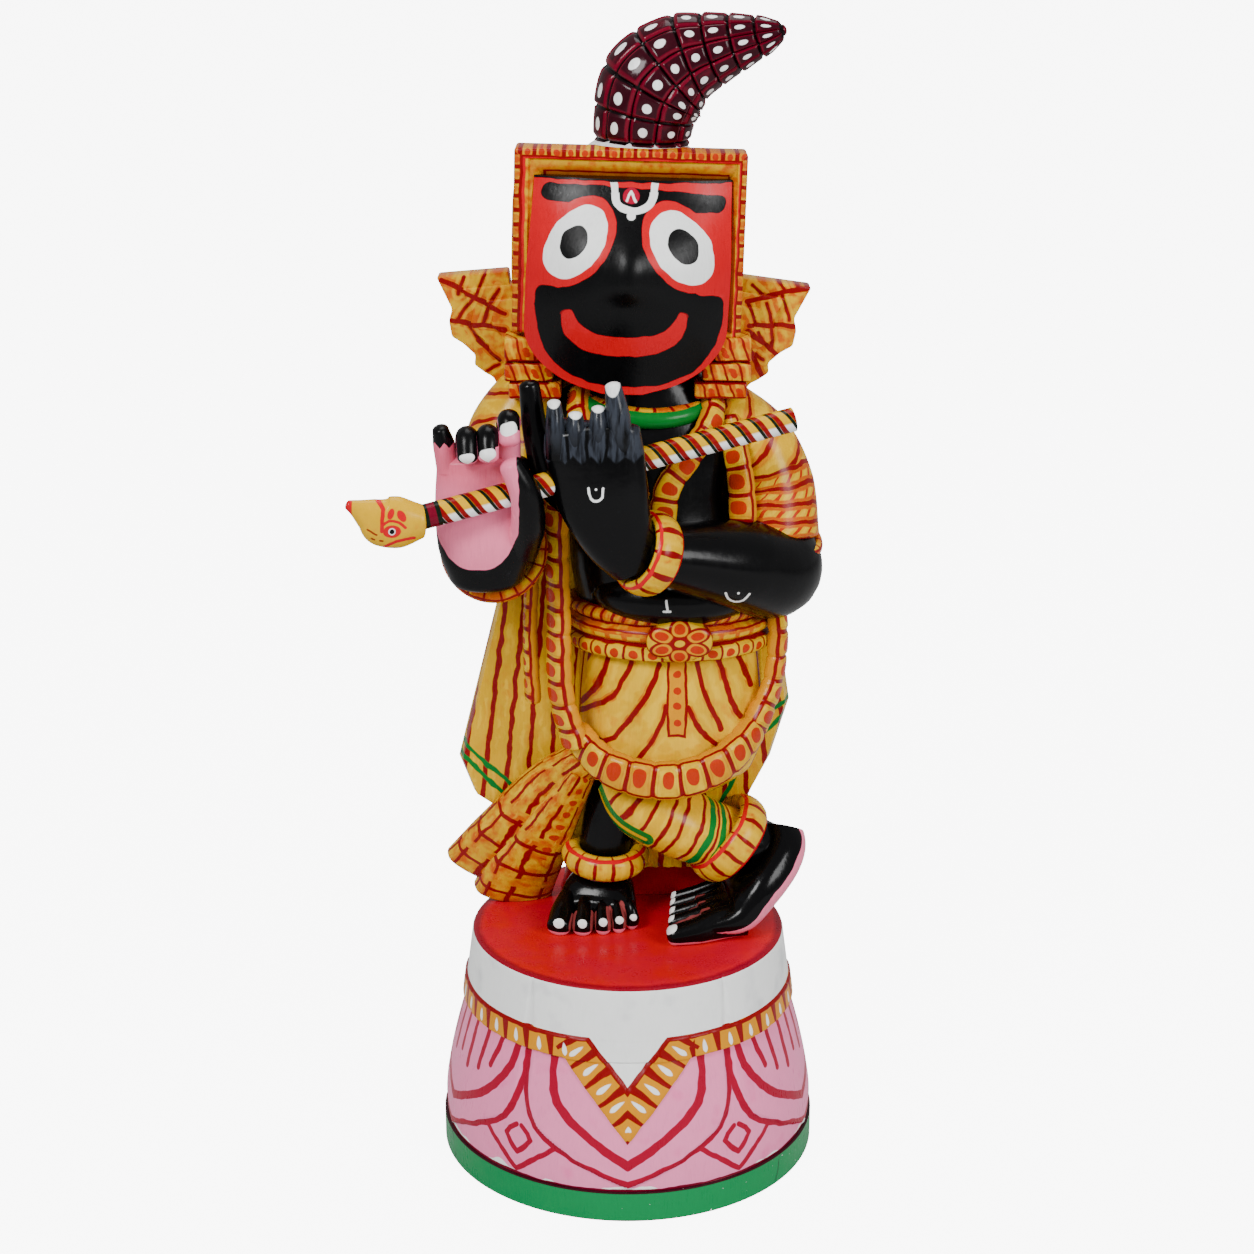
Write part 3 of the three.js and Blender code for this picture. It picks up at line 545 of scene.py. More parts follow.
def shawl_part():
    """Shawl that hangs behind the body, with its folds running down."""
    table = np.array([
        (24, -8, 45, 52), (42, -46, 57, 56), (66, -82.5, 66, 60), (86, -90, 76, 61), (118, -82, 85.5, 61),
        (174, -68, 77, 58), (235, -67, 75, 55), (275, -66, 64, 50), (292, -50, 56, 44),
    ], dtype=float)
    rows = []
    for low, high in zip(table[:-1], table[1:]):
        rows.extend(low + (high - low) * t for t in np.arange(6) / 6)
    rows.append(table[-1])
    back = 96
    t = np.arange(back + 1) / back
    bow = np.sqrt(np.maximum(0, 1 - (2 * t - 1) ** 2))
    folds = 2 * math.pi * 8
    fold = -1.6 * np.cos(folds * t)
    ahead = np.linspace(0.985, 0.015, 33)
    rings = []
    for z, left, right, deep in rows:
        wide = right - left
        behind = np.stack([left + wide * t, 24 + (deep - 24) * bow + fold * bow, 0 * t + z], axis=1)
        front = np.stack([left + wide * ahead, 16 + 0.6 * np.cos(folds * ahead), 0 * ahead + z], axis=1)
        rings.append(np.vstack([behind, front]))
    rings = np.array(rings)
    foot = rings[0].mean(axis=0) + 0 * rings[0]
    head = rings[-1].mean(axis=0) + 0 * rings[-1]
    rings = np.concatenate([[foot], rings, [head]])
    across = np.concatenate([t, ahead, [0]])
    return wrapped(standing(rings), across, np.arange(len(rings)) / len(rings), "shawl")


def skirt_part():
    """Skirt with pleats that fan out from the waist."""
    def pleats(u, v, run):
        depth = np.interp(v, [0, 0.2, 0.35, 0.6, 1], [0.2, 0.8, 1.2, 1, 0])
        return depth * np.cos(2 * math.pi * 13 * u)

    x, y = WAIST
    return loft([
        (x, y, 76, 30, 24), (x, y, 88, 44, 38), (x, y, 104, 49, 43), (x, y, 128, 49, 41),
        (x, y, 166, 46, 34),
    ], "skirt", around=130, level=True, ends=(0, 0), relief=pleats)


def belt_parts():
    """Belt of three rolls with a flower boss in front."""
    profile = np.array([
        (154, 46, 36), (156, 53.5, 42.5), (159, 55, 43.5), (162, 54.5, 43), (164, 51, 39),
        (166, 53.2, 41.2), (168.5, 54, 42), (171, 53.2, 41.2), (173, 50.5, 38.5), (175, 53, 41),
        (177.5, 54, 42), (180, 53, 41), (182, 46, 34)])
    rolls = loft([(WAIST[0], WAIST[1], z, w, d) for z, w, d in profile], "belt",
                 around=144, level=True, ends=(0, 0), steps=4)

    def flower(u, v, run):
        return 0.9 * np.abs(np.cos(math.pi * 6 * u)) * v

    boss = loft([
        (WAIST[0] + 4, -27, 167.5, 17, 10.5), (WAIST[0] + 4, -33, 167.5, 16.5, 10),
    ], "boss", facing=UP, ends=(0, 0.3), around=48, relief=flower)
    return [rolls, boss]


def garland_parts():
    """Long garland: down the left side, round the thighs and up the right side, with a tassel beside it."""
    cells = cut_in_cells()
    left = strand([
        (-30, -14, 272, 6.5, 4), (-35, -17, 235, 7, 5), (-35, -19, 180, 7.5, 5), (-34, -19, 135, 8, 5.5),
        (-27, -20, 108, 8.5, 5.5),
    ], "garland", relief=cells, steps=24)
    swag = strand([
        (-27, -14, 112, 8.5, 6), (-12, -29, 100.5, 9.5, 6), (8, -37, 95.5, 10, 6), (28, -37, 95.5, 10, 6),
        (48, -31, 102, 9.5, 6), (64, -15, 114, 8.5, 6), (71, 2, 126, 8, 6),
    ], "swag", relief=cells, steps=16)
    right = strand([
        (66, -14, 116, 8, 5.5), (75, -6, 138, 7, 5), (77, -4, 168, 6.5, 5), (74, 0, 186, 6, 4),
    ], "garland", relief=cells, steps=20)
    tassel = strand([
        (-47, -6, 215, 4.5, 3.5), (-50, -7, 170, 4.5, 3.5), (-49, -8, 128, 6, 4),
    ], "tassel", relief=hollowed(7, 0.5), steps=24)
    return [left, swag, right, tassel]


def necklace_parts():
    """Necklace that hangs from the neck over the chest."""
    def forward(centres):
        away = np.array(centres) - np.array([10, 30, 0])
        away[:, 2] = 0
        return away

    right = strand([
        (42, 2, 289, 6, 5), (42, -10, 278, 6, 5), (32, -20, 262, 6, 5), (20, -24, 245, 6.5, 5),
        (17, -25, 228, 7, 5),
    ], "garland", facing=forward, relief=cut_in_cells(0.6), steps=14)
    left = strand([
        (-24, 2, 289, 6, 5), (-24, -10, 276, 6, 5), (-14, -20, 258, 6, 5), (6, -25, 238, 6.5, 5),
    ], "garland", facing=forward, relief=cut_in_cells(0.6), steps=14)
    return [right, left]


# Arms

def left_arm_parts():
    """Sleeved upper arm, hem and bare forearm of the arm on the viewer's right."""
    sleeve = loft([
        (49, 16, 278, 14, 17), (66, 14, 260, 18, 20), (73, 12, 238, 22, 23), (74, 7, 213, 24, 25),
    ], "sleeve", around=56, ends=(0.6, 0.25))
    hem = hoop((73.6, 5, 214), (0.28, -0.2, 1), (24, 26), (3, 4), "hem")
    fold = strand([
        (50, -4, 276, 6, 4), (56, -12, 250, 6.5, 5), (58, -16, 226, 7, 5),
    ], "garland", facing=lambda c: np.tile((-0.6, -1, 0), (len(c), 1)), relief=cut_in_cells(0.5), steps=14)
    forearm = loft([
        (75, 8, 204, 23, 23), (74, -2, 197, 25, 25), (56, -20, 204, 24.5, 23), (28, -38, 213, 20, 18),
        (4, -50, 219, 16, 13),
    ], "skin", facing=UP, around=56, ends=(0.6, 0))
    cuff = hoop((10, -47.5, 218), (-0.8, -0.46, 0.38), (17.5, 17.5), (4, 8), "cuff")
    return [sleeve, hem, fold, forearm, cuff]


def left_hand_parts():
    """Hand seen from its back, fingers up, thumb towards the other hand."""
    palm = loft([
        (4, -50, 216, 15, 12), (-5, -56, 230, 18, 11.5), (-12, -60, 250, 22.5, 11),
        (-16, -61, 270, 24, 9.5), (-17, -61, 282, 23, 8),
    ], "hand_back", squareness=2.4, ends=(0, 0.5), around=56)
    parts = [palm]
    for root, end, tip, half in (
            (-34, -35, 299, 4.8), (-24.5, -25, 293, 5.2), (-14, -14, 296, 5), (-2.5, -7, 307, 5.8)):
        parts.append(digit([
            (root, -62, 270, half + 0.7, 7), ((root + end) / 2, -63, 270 + (tip - 270) * 0.55, half, 6.5),
            (end, -62, tip - 3, half * 0.7, 4.5),
        ], "finger"))
    between = [(-37, 264), (-2, 264), (-4, 296), (-10, 289), (-19, 287), (-29, 288), (-36, 291)]
    parts.append(plate(between, -64.5, -57, "finger"))
    parts.append(digit([
        (-18, -52, 240, 9, 9), (-36, -52, 254, 8, 8), (-44, -51, 278, 6.5, 7), (-47, -51, 302, 5, 5),
    ], "skin"))
    return parts


def right_arm_parts():
    """Sleeve, hem and forearm of the arm on the viewer's left, which points forward."""
    sleeve = loft([
        (-48, 18, 284, 18, 17), (-60, 15, 264, 21, 21), (-64, 8, 240, 23, 24), (-67, -2, 214, 25, 24),
    ], "sleeve", around=56, ends=(0.6, 0.75))
    hem = hoop((-67, -22, 214), (0, -1, 0.35), (24, 25), (3.2, 3.5), "hem")
    forearm = loft([
        (-67, -6, 212, 22, 21), (-68, -28, 212, 21.5, 19), (-69, -46, 222, 20, 15),
    ], "skin", facing=(0, -0.2, 1), ends=(0, 0.6))
    return [sleeve, hem, forearm]


def right_hand_parts():
    """Open hand with its palm to the viewer and its fingers curled over."""
    palm = loft([
        (-69.5, -46, 208, 18.5, 14), (-69.7, -52, 224, 22.8, 12), (-69.8, -53, 246, 23.5, 9),
        (-69.8, -54, 266, 22, 9),
    ], "palm", squareness=2.5, ends=(0.5, 0.4), around=56)
    parts = [palm]
    for x, rise, reach in ((-77, 280, 14), (-67, 281, 15), (-57, 288, 12)):
        parts.append(digit([
            (x, -54, 262, 5.6, 7), (x, -56, rise - 5, 5.6, 6.5), (x + 0.5, -56 - reach * 0.6, rise, 5.4, 5),
            (x + 1, -56 - reach, rise - 9, 5, 4.5),
        ], "curled_finger", facing=(0, -0.7, 0.7)))
    parts.append(digit([
        (-86.5, -54, 262, 5.6, 7), (-88, -56, 274, 5.4, 6.5), (-89.5, -57, 282, 4, 5),
    ], "palm"))
    parts.append(loft([
        (-52, -52, 222, 9, 9), (-48, -63, 238, 8.5, 8.5), (-49, -70, 254, 7.5, 7.5), (-55, -72, 268, 6, 6),
    ], "palm_thumb", around=32, ends=(0, 0.6)))
    return parts


# Legs

def standing_leg_parts():
    """Straight leg on the viewer's left with its anklet and foot."""
    shin = loft([
        (6, 14, 92, 18, 18), (-6, 14, 66, 15, 15), (-12, 12, 38, 14, 14), (-14, 14, 14, 16, 17),
    ], "skin", ends=(0, 0))
    anklet = hoop((-12, 10, 35), (0.05, -0.12, 1), (18, 18), (5.5, 7), "anklet")
    instep = loft([
        (-14, 26, 10, 14, 12), (-15, 8, 12, 19, 15), (-17, -4, 7.5, 22.5, 9.5),
    ], "foot", facing=UP, squareness=2.6)
    parts = [shin, anklet, instep]
    for x, tip, half in (
            (-36.5, -25, 7.2), (-24, -24.5, 6), (-13, -22.5, 4.8), (-4.5, -20, 4.2), (3, -16, 3.8)):
        parts.append(digit([
            (x * 0.65 - 17 * 0.35, 4, 9, half, 11), (x * 0.88 - 17 * 0.12, -8, 6.5, half, 9),
            (x, tip + half, 4.5, half * 0.9, 5.5),
        ], "toe", facing=UP))
    return parts


def crossed_leg_parts():
    """Leg that crosses in front, under the skirt's hem, to the anklet and the raised heel."""
    leg = loft([
        (-4, 0, 84, 14, 18), (8, -8, 71, 18.5, 21), (25, -9, 61.5, 18.5, 22), (42, -5, 52.5, 17.5, 20),
        (55, -1, 48, 16, 17),
    ], "leg_cloth", around=56, ends=(0, 0))
    anklet = hoop((53, -3, 49), (0.76, 0.1, -0.63), (20.5, 20.5), (5, 8.5), "anklet")
    ankle = loft([
        (48, -2, 50, 15, 16), (64, 3, 44, 15, 16), (76, 8, 40, 12, 13),
    ], "skin", ends=(0, 0))
    sole = loft([
        (80, 11, 48.5, 15, 12), (78, 4, 37, 20, 13), (68, -2, 24, 25, 13), (58.5, -4, 12, 27, 11.5),
        (48, -5, 8.7, 27, 8.5), (39, -6, 7.2, 26, 7),
    ], "raised_foot", facing=(-0.6, 0, 0.8), squareness=2.5, around=56, ends=(0, 0.35))
    parts = [leg, anklet, ankle, sole]
    for k, (y, half) in enumerate(((-29, 6.4), (-16, 4.6), (-5, 4.2), (6, 4), (15, 3.8))):
        parts.append(digit([
            (62, y * 0.75, 10.5, half, 9), (50, y * 0.85 + 1, 9.5, half, 9), (36, y * 0.95, 6.5, half, 7),
            (23.5 + k / 2, y, 4.5, half * 0.92, 5.3),
        ], "toe", facing=UP))
    return parts


def sash_parts():
    """Flared end of the sash that sweeps back to the pedestal on the viewer's left."""
    style = {"facing": (0.35, -1, 0.3), "squareness": 2.6, "ends": (0, 0.6), "around": 48}
    upper = loft([
        (-22, -6, 96, 10, 7), (-42, 6, 74, 15, 8), (-64, 20, 39.5, 21, 9), (-78, 30, 18, 23, 8),
    ], "sash", **style)
    lower = loft([
        (-24, -4, 88, 8, 7), (-40, 10, 56, 14, 9), (-55.5, 24, 25, 20.5, 10), (-63, 32, 4, 22, 9),
    ], "sash", **style)
    return [upper, lower]


def web_part():
    """Web of wood left behind the legs, from the pedestal to the shawl's hem."""
    return loft([
        (9, 46, -2, 46, 12), (10, 44, 20, 42, 12), (16, 42, 50, 38, 12),
    ], "red_paint", squareness=3, ends=(0, 0), around=48)


# Flute: its line in parts, from the bird's neck towards the open end
FLUTE_FROM = np.array([-99, -76, 243.5])
FLUTE_ALONG = Vector((178, 44, 37.5)).normalized()
FLUTE_LENGTH = 189
FLUTE_RADIUS = 6
BIRD_LENGTH = 31


def on_flute(points):
    """Points in the flute's own frame, whose +Z runs towards the open end, at their place in metres."""
    side = Vector(UP).cross(FLUTE_ALONG).normalized()
    up = FLUTE_ALONG.cross(side)
    turn = np.array([side, up, FLUTE_ALONG])
    return standing(np.asarray(points) @ turn + FLUTE_FROM)


def flute_rod(radius, overrun, paint):
    """Rod along the flute's line."""
    return loft([
        (0, 0, -overrun, radius, radius), (0, 0, FLUTE_LENGTH / 2, radius, radius),
        (0, 0, FLUTE_LENGTH + overrun, radius, radius),
    ], paint, facing=(0, 1, 0), around=40, ends=(0, 0), steps=20, place=on_flute)


def bird_part():
    """Bird's head on the flute's end, its beak turned up."""
    k = BIRD_LENGTH
    return loft([
        (0, -0.06 * k, 1, 7.6, 8.2), (0, 0.02 * k, -0.33 * k, 7.6, 12.6),
        (0, 0.11 * k, -0.57 * k, 6.6, 12.2), (0, 0.28 * k, -0.76 * k, 5, 7.8),
        (0, 0.42 * k, -0.92 * k, 3.4, 4), (0, 0.49 * k, -1.01 * k, 2.2, 2.4),
    ], "bird", facing=(0, 1, 0), ends=(0.2, 0.5), place=on_flute)


# Pedestal, in millimetres from the floor

STAND_TOP = 122.5
STAND_FOOT_RADIUS = 100.0
STAND_TOP_RADIUS = 81.4
RIM_TOP = 16.5
TRIM_FOOT = 84.0
TRIM_TOP = 96.0
DRUM_FOOT_RADIUS = 86.4
PETAL_RELIEF = 1.3
TRIM_RELIEF = 2.5
PETAL_HEIGHTS = np.array([18.5, 29.6, 44.7, 54.5, 90.5])
PETAL_WIDTHS = np.array([0, 0.45, 0.86, 0.97, 0.9]) * 53.4
POINT_SLOPE = 26 / 20.4
POINT_TIP = 70.0
POINT_BORDER = 17.0
POINT_CELL = 11.5
TRIM_CELL = 14.5


def stand_radius(z):
    """Radius of the pedestal before any relief: a bell below the trim's foot, a straight drum above."""
    rise = (z - TRIM_FOOT) / (STAND_TOP - TRIM_FOOT)
    drum = DRUM_FOOT_RADIUS + (STAND_TOP_RADIUS - DRUM_FOOT_RADIUS) * rise
    bell = np.clip((z - RIM_TOP) / (TRIM_FOOT - RIM_TOP), 0, 1) ** 1.6
    foot = STAND_FOOT_RADIUS - 1.6
    return np.where(z > TRIM_FOOT, drum, foot + (DRUM_FOOT_RADIUS - PETAL_RELIEF - foot) * bell)


def stand_relief(turn, z):
    """Relief at an angle from the front and a height: petals, the border round the point and the trim."""
    reach = stand_radius(z)
    fold = np.abs((turn + math.radians(36)) % math.radians(72) - math.radians(36))
    petal = share((np.interp(z, PETAL_HEIGHTS, PETAL_WIDTHS, left=-5) - reach * np.sin(fold)) / 1.6 + 0.5)
    relief = PETAL_RELIEF * petal
    slant = math.hypot(1, POINT_SLOPE)
    point = (np.abs(reach * np.sin(turn)) * POINT_SLOPE - z + POINT_TIP) / slant
    border = share((POINT_BORDER - point) / 1.6 + 0.5)
    trim = share((z - TRIM_FOOT) / 1.2 + 0.5) * share((TRIM_TOP - z) / 1.2 + 0.5)
    border = np.maximum(border * share((TRIM_TOP - z) / 1.2 + 0.5), trim)
    legs = (np.abs(reach * np.sin(turn)) + z * POINT_SLOPE) / slant
    notch = 0.35 * groove(np.where(point < POINT_BORDER, legs / POINT_CELL, turn * 85.9 / TRIM_CELL), 0.1)
    relief = np.maximum(relief, (TRIM_RELIEF - notch) * border)
    cloth = share(-point / 1.4 + 0.5) * share((TRIM_TOP - z) / 1.2 + 0.5)
    return relief + (TRIM_RELIEF / 2 - relief) * cloth


def stand_part():
    """Turned lotus pedestal with its petals, trim and point in relief."""
    around = 480
    turn = np.arange(around) / around * 2 * math.pi
    levels = np.concatenate([
        [0, 0.5, 1.5, 4, 8, 12, 15, 16.1, 16.5, 16.5], np.linspace(16.9, 83, 74), np.linspace(83.6, 97, 24),
        np.linspace(99, 120.5, 14), [121.4, 122.1, 122.5]])
    level = levels[:, None] + 0 * turn
    radius = stand_radius(level) + np.where(level > RIM_TOP, stand_relief(turn, level), 0)
    radius[:9] = STAND_FOOT_RADIUS
    radius[0] -= 0.6
    radius[8] -= 0.5
    radius[-3:] -= np.array([0.25, 0.8, 1.6])[:, None]
    wave = 0.25 * np.sin(turn * 7 + 1) * np.sin(turn * 3)
    radius[10:-3] += wave * share((radius[10:-3] - 80) / 10)
    caps = np.array([0.9, 0.6, 0.25, 0.0])
    under = [np.stack([radius[0] * k, 0 * turn], axis=1) for k in caps[::-1]]
    over = [np.stack([radius[-1] * k, STAND_TOP + 0 * turn], axis=1) for k in caps]
    rows = under + [np.stack(pair, axis=1) for pair in zip(radius, level)] + over
    rings = np.array([
        np.stack([row[:, 0] * np.sin(turn), -row[:, 0] * np.cos(turn), row[:, 1]], axis=1) for row in rows])
    run = np.arange(len(rings)) / len(rings)
    piece = wrapped(rings * PART, np.arange(around + 1) / around, run, "stand_side", "pedestal_painted")
    for name in ("stand_rim", "stand_cloth", "stand_top"):
        piece.data.materials.append(paint_of(name))
    for face in piece.data.polygons:
        z = face.center.z / PART
        if z < RIM_TOP + 0.01:
            face.material_index = 1
        elif z > STAND_TOP - 1.0 and face.normal.z > 0.5:
            face.material_index = 3
        elif z > TRIM_TOP + 0.6:
            face.material_index = 2
    return piece


# Crest: each station is x, y, height above the crown's top, half width and half depth
CREST = (
    (7, 24, -9, 22.5, 20), (7.5, 23, 12, 25, 22), (12, 22, 28, 27.2, 23.5), (24, 21, 40, 24, 20.5),
    (38, 19, 46.2, 19, 16.5), (54, 15, 51.5, 13.5, 11), (66, 12, 55, 9, 7.5), (73, 10, 57.3, 4.6, 4))
CREST_STEPS = 20


def crest_stations():
    table = np.array(CREST, dtype=float)
    table[:, 2] += HEAD["top"]
    return table


def crest_run():
    """Length of the crest's middle line in parts."""
    places = spline(crest_stations()[:, :3], CREST_STEPS)[0]
    return np.linalg.norm(np.diff(places, axis=0), axis=1).sum()


def crest_part():
    """Horn of overlapping scales, cut to sit on the crown and its seat."""
    def scales(u, v, run):
        row = v * sizes().crest_rows % 1
        column = np.abs(u * sizes().crest_columns % 1 - 0.5)
        pad = share((0.5 - column) / 0.12) * share(row / 0.12)
        lip = share((row - 0.9) / 0.1)
        return -1.8 + 1.5 * pad + 0.5 * (1 - row) * pad - 1.3 * lip

    horn = loft(crest_stations(), "crest", around=sizes().crest_columns * 14, steps=CREST_STEPS,
                ends=(0, 0.5), relief=scales, place=leaning)
    seat = ball((HEAD["x"] + 5, 23, HEAD["top"] - SEAT_SINK), SEAT + SEAT_AIR, "crest", place=leaning)
    below = primitive("cube", size=1)
    settle(below, lambda points: leaning(points * 200 + np.array([0, 0, HEAD["top"] + SEAT_AIR - 100])))
    painted(below, "crest")
    return combine("crest_scales", [horn, seat, below], operation="DIFFERENCE")


# Nodes

SOFT = 0.3
ENAMEL_SPECULAR = 0.16
FLAT = (0.0, 0.0, 0.0)


class Wire:
    """Number, colour or place that varies over a surface: a node's output that reckons like a number."""

    def __init__(self, tree, socket):
        self.tree = tree
        self.socket = socket

    def math(self, operation, *others, clamp=False):
        node = self.tree.nodes.new("ShaderNodeMath")
        node.operation = operation
        node.use_clamp = clamp
        for slot, value in zip(node.inputs, (self, *others)):
            feed(slot, value)
        return Wire(self.tree, node.outputs[0])

    def vector(self, operation, *others):
        node = self.tree.nodes.new("ShaderNodeVectorMath")
        node.operation = operation
        for slot, value in zip(node.inputs, (self, *others)):
            feed(slot, value)
        number = operation in ("DOT_PRODUCT", "DISTANCE", "LENGTH")
        return Wire(self.tree, node.outputs["Value" if number else "Vector"])

    def scaled(self, amount):
        """This place or colour, times a number."""
        node = self.tree.nodes.new("ShaderNodeVectorMath")
        node.operation = "SCALE"
        feed(node.inputs[0], self)
        feed(node.inputs["Scale"], amount)
        return Wire(self.tree, node.outputs["Vector"])

    def split(self):
        """The x, y and z of this place."""
        node = self.tree.nodes.new("ShaderNodeSeparateXYZ")
        feed(node.inputs[0], self)
        return [Wire(self.tree, socket) for socket in node.outputs]

    def __add__(self, other):
        return self.math("ADD", other)

    __radd__ = __add__

    def __sub__(self, other):
        return self.math("SUBTRACT", other)

    def __rsub__(self, other):
        return self.math("MULTIPLY_ADD", -1.0, other)

    def __mul__(self, other):
        return self.math("MULTIPLY", other)

    __rmul__ = __mul__

    def __truediv__(self, other):
        return self.math("DIVIDE", other)

    def __neg__(self):
        return self * -1

    def __abs__(self):
        return self.math("ABSOLUTE")

    def least(self, other):
        return self.math("MINIMUM", other)

    def most(self, other):
        return self.math("MAXIMUM", other)

    def inside(self, soft=SOFT):
        """Mask that is 1 where this distance is below zero."""
        return self.math("MULTIPLY_ADD", -1 / soft, 0.5, clamp=True)

    def between(self, low, high, soft=SOFT):
        """Mask that is 1 from low to high."""
        return (abs(self - (low + high) / 2) - (high - low) / 2).inside(soft)

    def rise(self, low, high):
        """Share from 0 at low to 1 at high."""
        return self.math("MULTIPLY_ADD", 1 / (high - low), -low / (high - low), clamp=True)

    def every(self, period):
        """How far this is from the nearest multiple of a period."""
        return self.math("PINGPONG", period / 2)

    def near(self, centre, half):
        """How far this lies outside a stretch round its centre."""
        return abs(self - centre) - half


def feed(slot, value):
    """Links a wire to a socket, or sets the socket's own number or colour."""
    if isinstance(value, Wire):
        value.tree.links.new(value.socket, slot)
    elif slot.type == "RGBA":
        slot.default_value = (*value[:3], 1)
    else:
        slot.default_value = value


def nearest(distances):
    """The least of several distances."""
    return reduce(Wire.least, distances)


def far(across, up):
    """Distance from the middle of a flat place, given as two numbers."""
    return joined_place(across, up).vector("LENGTH")


def camera_ray(tree):
    """1 for what the camera sees straight, 0 for light that goes on to other things."""
    return Wire(tree, tree.nodes.new("ShaderNodeLightPath").outputs["Is Camera Ray"])


def mixed(first, second, mask):
    """Colour that goes from the first to the second with a mask."""
    node = mask.tree.nodes.new("ShaderNodeMix")
    node.data_type = "RGBA"
    feed(node.inputs["Factor"], mask)
    feed(node.inputs["A"], first)
    feed(node.inputs["B"], second)
    return Wire(mask.tree, node.outputs["Result"])


def noise(place, scale, detail=2.0, output="Fac"):
    """Cloudy noise, its scale in lumps to a part."""
    node = place.tree.nodes.new("ShaderNodeTexNoise")
    feed(node.inputs["Vector"], place)
    feed(node.inputs["Scale"], scale)
    feed(node.inputs["Detail"], detail)
    return Wire(place.tree, node.outputs[output])


def mapped(place, scale, turn=FLAT, move=FLAT):
    """Place scaled, turned and moved by a Mapping node."""
    node = place.tree.nodes.new("ShaderNodeMapping")
    feed(node.inputs["Vector"], place)
    feed(node.inputs["Location"], move)
    feed(node.inputs["Rotation"], turn)
    feed(node.inputs["Scale"], scale)
    return Wire(place.tree, node.outputs["Vector"])


def joined_place(across, up):
    """Flat place from two numbers."""
    node = across.tree.nodes.new("ShaderNodeCombineXYZ")
    feed(node.inputs["X"], across)
    feed(node.inputs["Y"], up)
    return Wire(across.tree, node.outputs["Vector"])


def new_group(name, inputs, outputs):
    """Node group with named sockets: wires from its inputs and the sockets that take its results."""
    group = bpy.data.node_groups.new(name, "ShaderNodeTree")
    for label, kind, value in inputs:
        socket = group.interface.new_socket(label, in_out="INPUT", socket_type="NodeSocket" + kind)
        socket.default_value = value
    for label, kind in outputs:
        group.interface.new_socket(label, in_out="OUTPUT", socket_type="NodeSocket" + kind)
    start = group.nodes.new("NodeGroupInput")
    end = group.nodes.new("NodeGroupOutput")
    return [Wire(group, start.outputs[label]) for label, _, _ in inputs], end.inputs


def make_brush_shake():
    """Places that stray as a hand does, so that painted edges aren't quite true."""
    (place, amount), end = new_group(
        "Brush shake", (("Vector", "Vector", FLAT), ("Amount", "Float", 0.6)), (("Vector", "Vector"),))
    stray = noise(place, 0.11, detail=1.5, output="Color").vector("SUBTRACT", (0.5, 0.5, 0.5))
    feed(end["Vector"], place.vector("ADD", stray.scaled(amount * 4)))


def make_stroke():
    """Distance from a straight brush stroke between two places."""
    (place, first, last), end = new_group(
        "Stroke", (("Vector", "Vector", FLAT), ("Start", "Vector", FLAT), ("End", "Vector", FLAT)),
        (("Distance", "Float"),))
    along = last.vector("SUBTRACT", first)
    away = place.vector("SUBTRACT", first)
    run = away.vector("DOT_PRODUCT", along).math("DIVIDE", along.vector("DOT_PRODUCT", along), clamp=True)
    feed(end["Distance"], away.vector("DISTANCE", along.scaled(run)))


def make_rounded_shape():
    """Distance outside a leaning oval or round-cornered shape, with its own heights above and below."""
    (place, centre, wide, above, below, lean, square), end = new_group(
        "Rounded shape",
        (("Vector", "Vector", FLAT), ("Centre", "Vector", FLAT), ("Half width", "Float", 1.0),
         ("Height above", "Float", 1.0), ("Height below", "Float", 1.0), ("Lean", "Float", 0.0),
         ("Squareness", "Float", 2.0)),
        (("Distance", "Float"),))
    across, up, _ = place.vector("SUBTRACT", centre).split()
    high = below + (above - below) * up.math("GREATER_THAN", 0.0)
    wide_share = (abs(across - up * lean) / wide).math("POWER", square)
    high_share = (abs(up) / high).math("POWER", square)
    reach = (wide_share + high_share).math("POWER", square.math("POWER", -1.0))
    feed(end["Distance"], (reach - 1) * wide.least(high))


def make_cells():
    """Cells along a strand: the way from the middle of one, the way to its edge and a number of its own."""
    (along, length), end = new_group(
        "Cells", (("Along", "Float", 0.0), ("Length", "Float", 10.0)),
        (("Middle", "Float"), ("Edge", "Float"), ("Random", "Float")))
    share_along = along / length
    cell = share_along.math("FLOOR")
    middle = (share_along - cell - 0.5) * length
    feed(end["Middle"], middle)
    feed(end["Edge"], length * 0.5 - abs(middle))
    chance = along.tree.nodes.new("ShaderNodeTexWhiteNoise")
    chance.noise_dimensions = "1D"
    feed(chance.inputs["W"], cell)
    feed(end["Random"], Wire(along.tree, chance.outputs["Value"]))


def make_dabs():
    """Mask of soft dabs of a second paint."""
    (place, size, share_covered), end = new_group(
        "Dabs", (("Vector", "Vector", FLAT), ("Size", "Float", 10.0), ("Cover", "Float", 0.5)),
        (("Mask", "Float"),))
    cloud = noise(place.scaled(size.math("POWER", -1.0)), 1.0, detail=2.5)
    feed(end["Mask"], (cloud - 1 + share_covered).math("MULTIPLY_ADD", 5.0, 0.5, clamp=True))


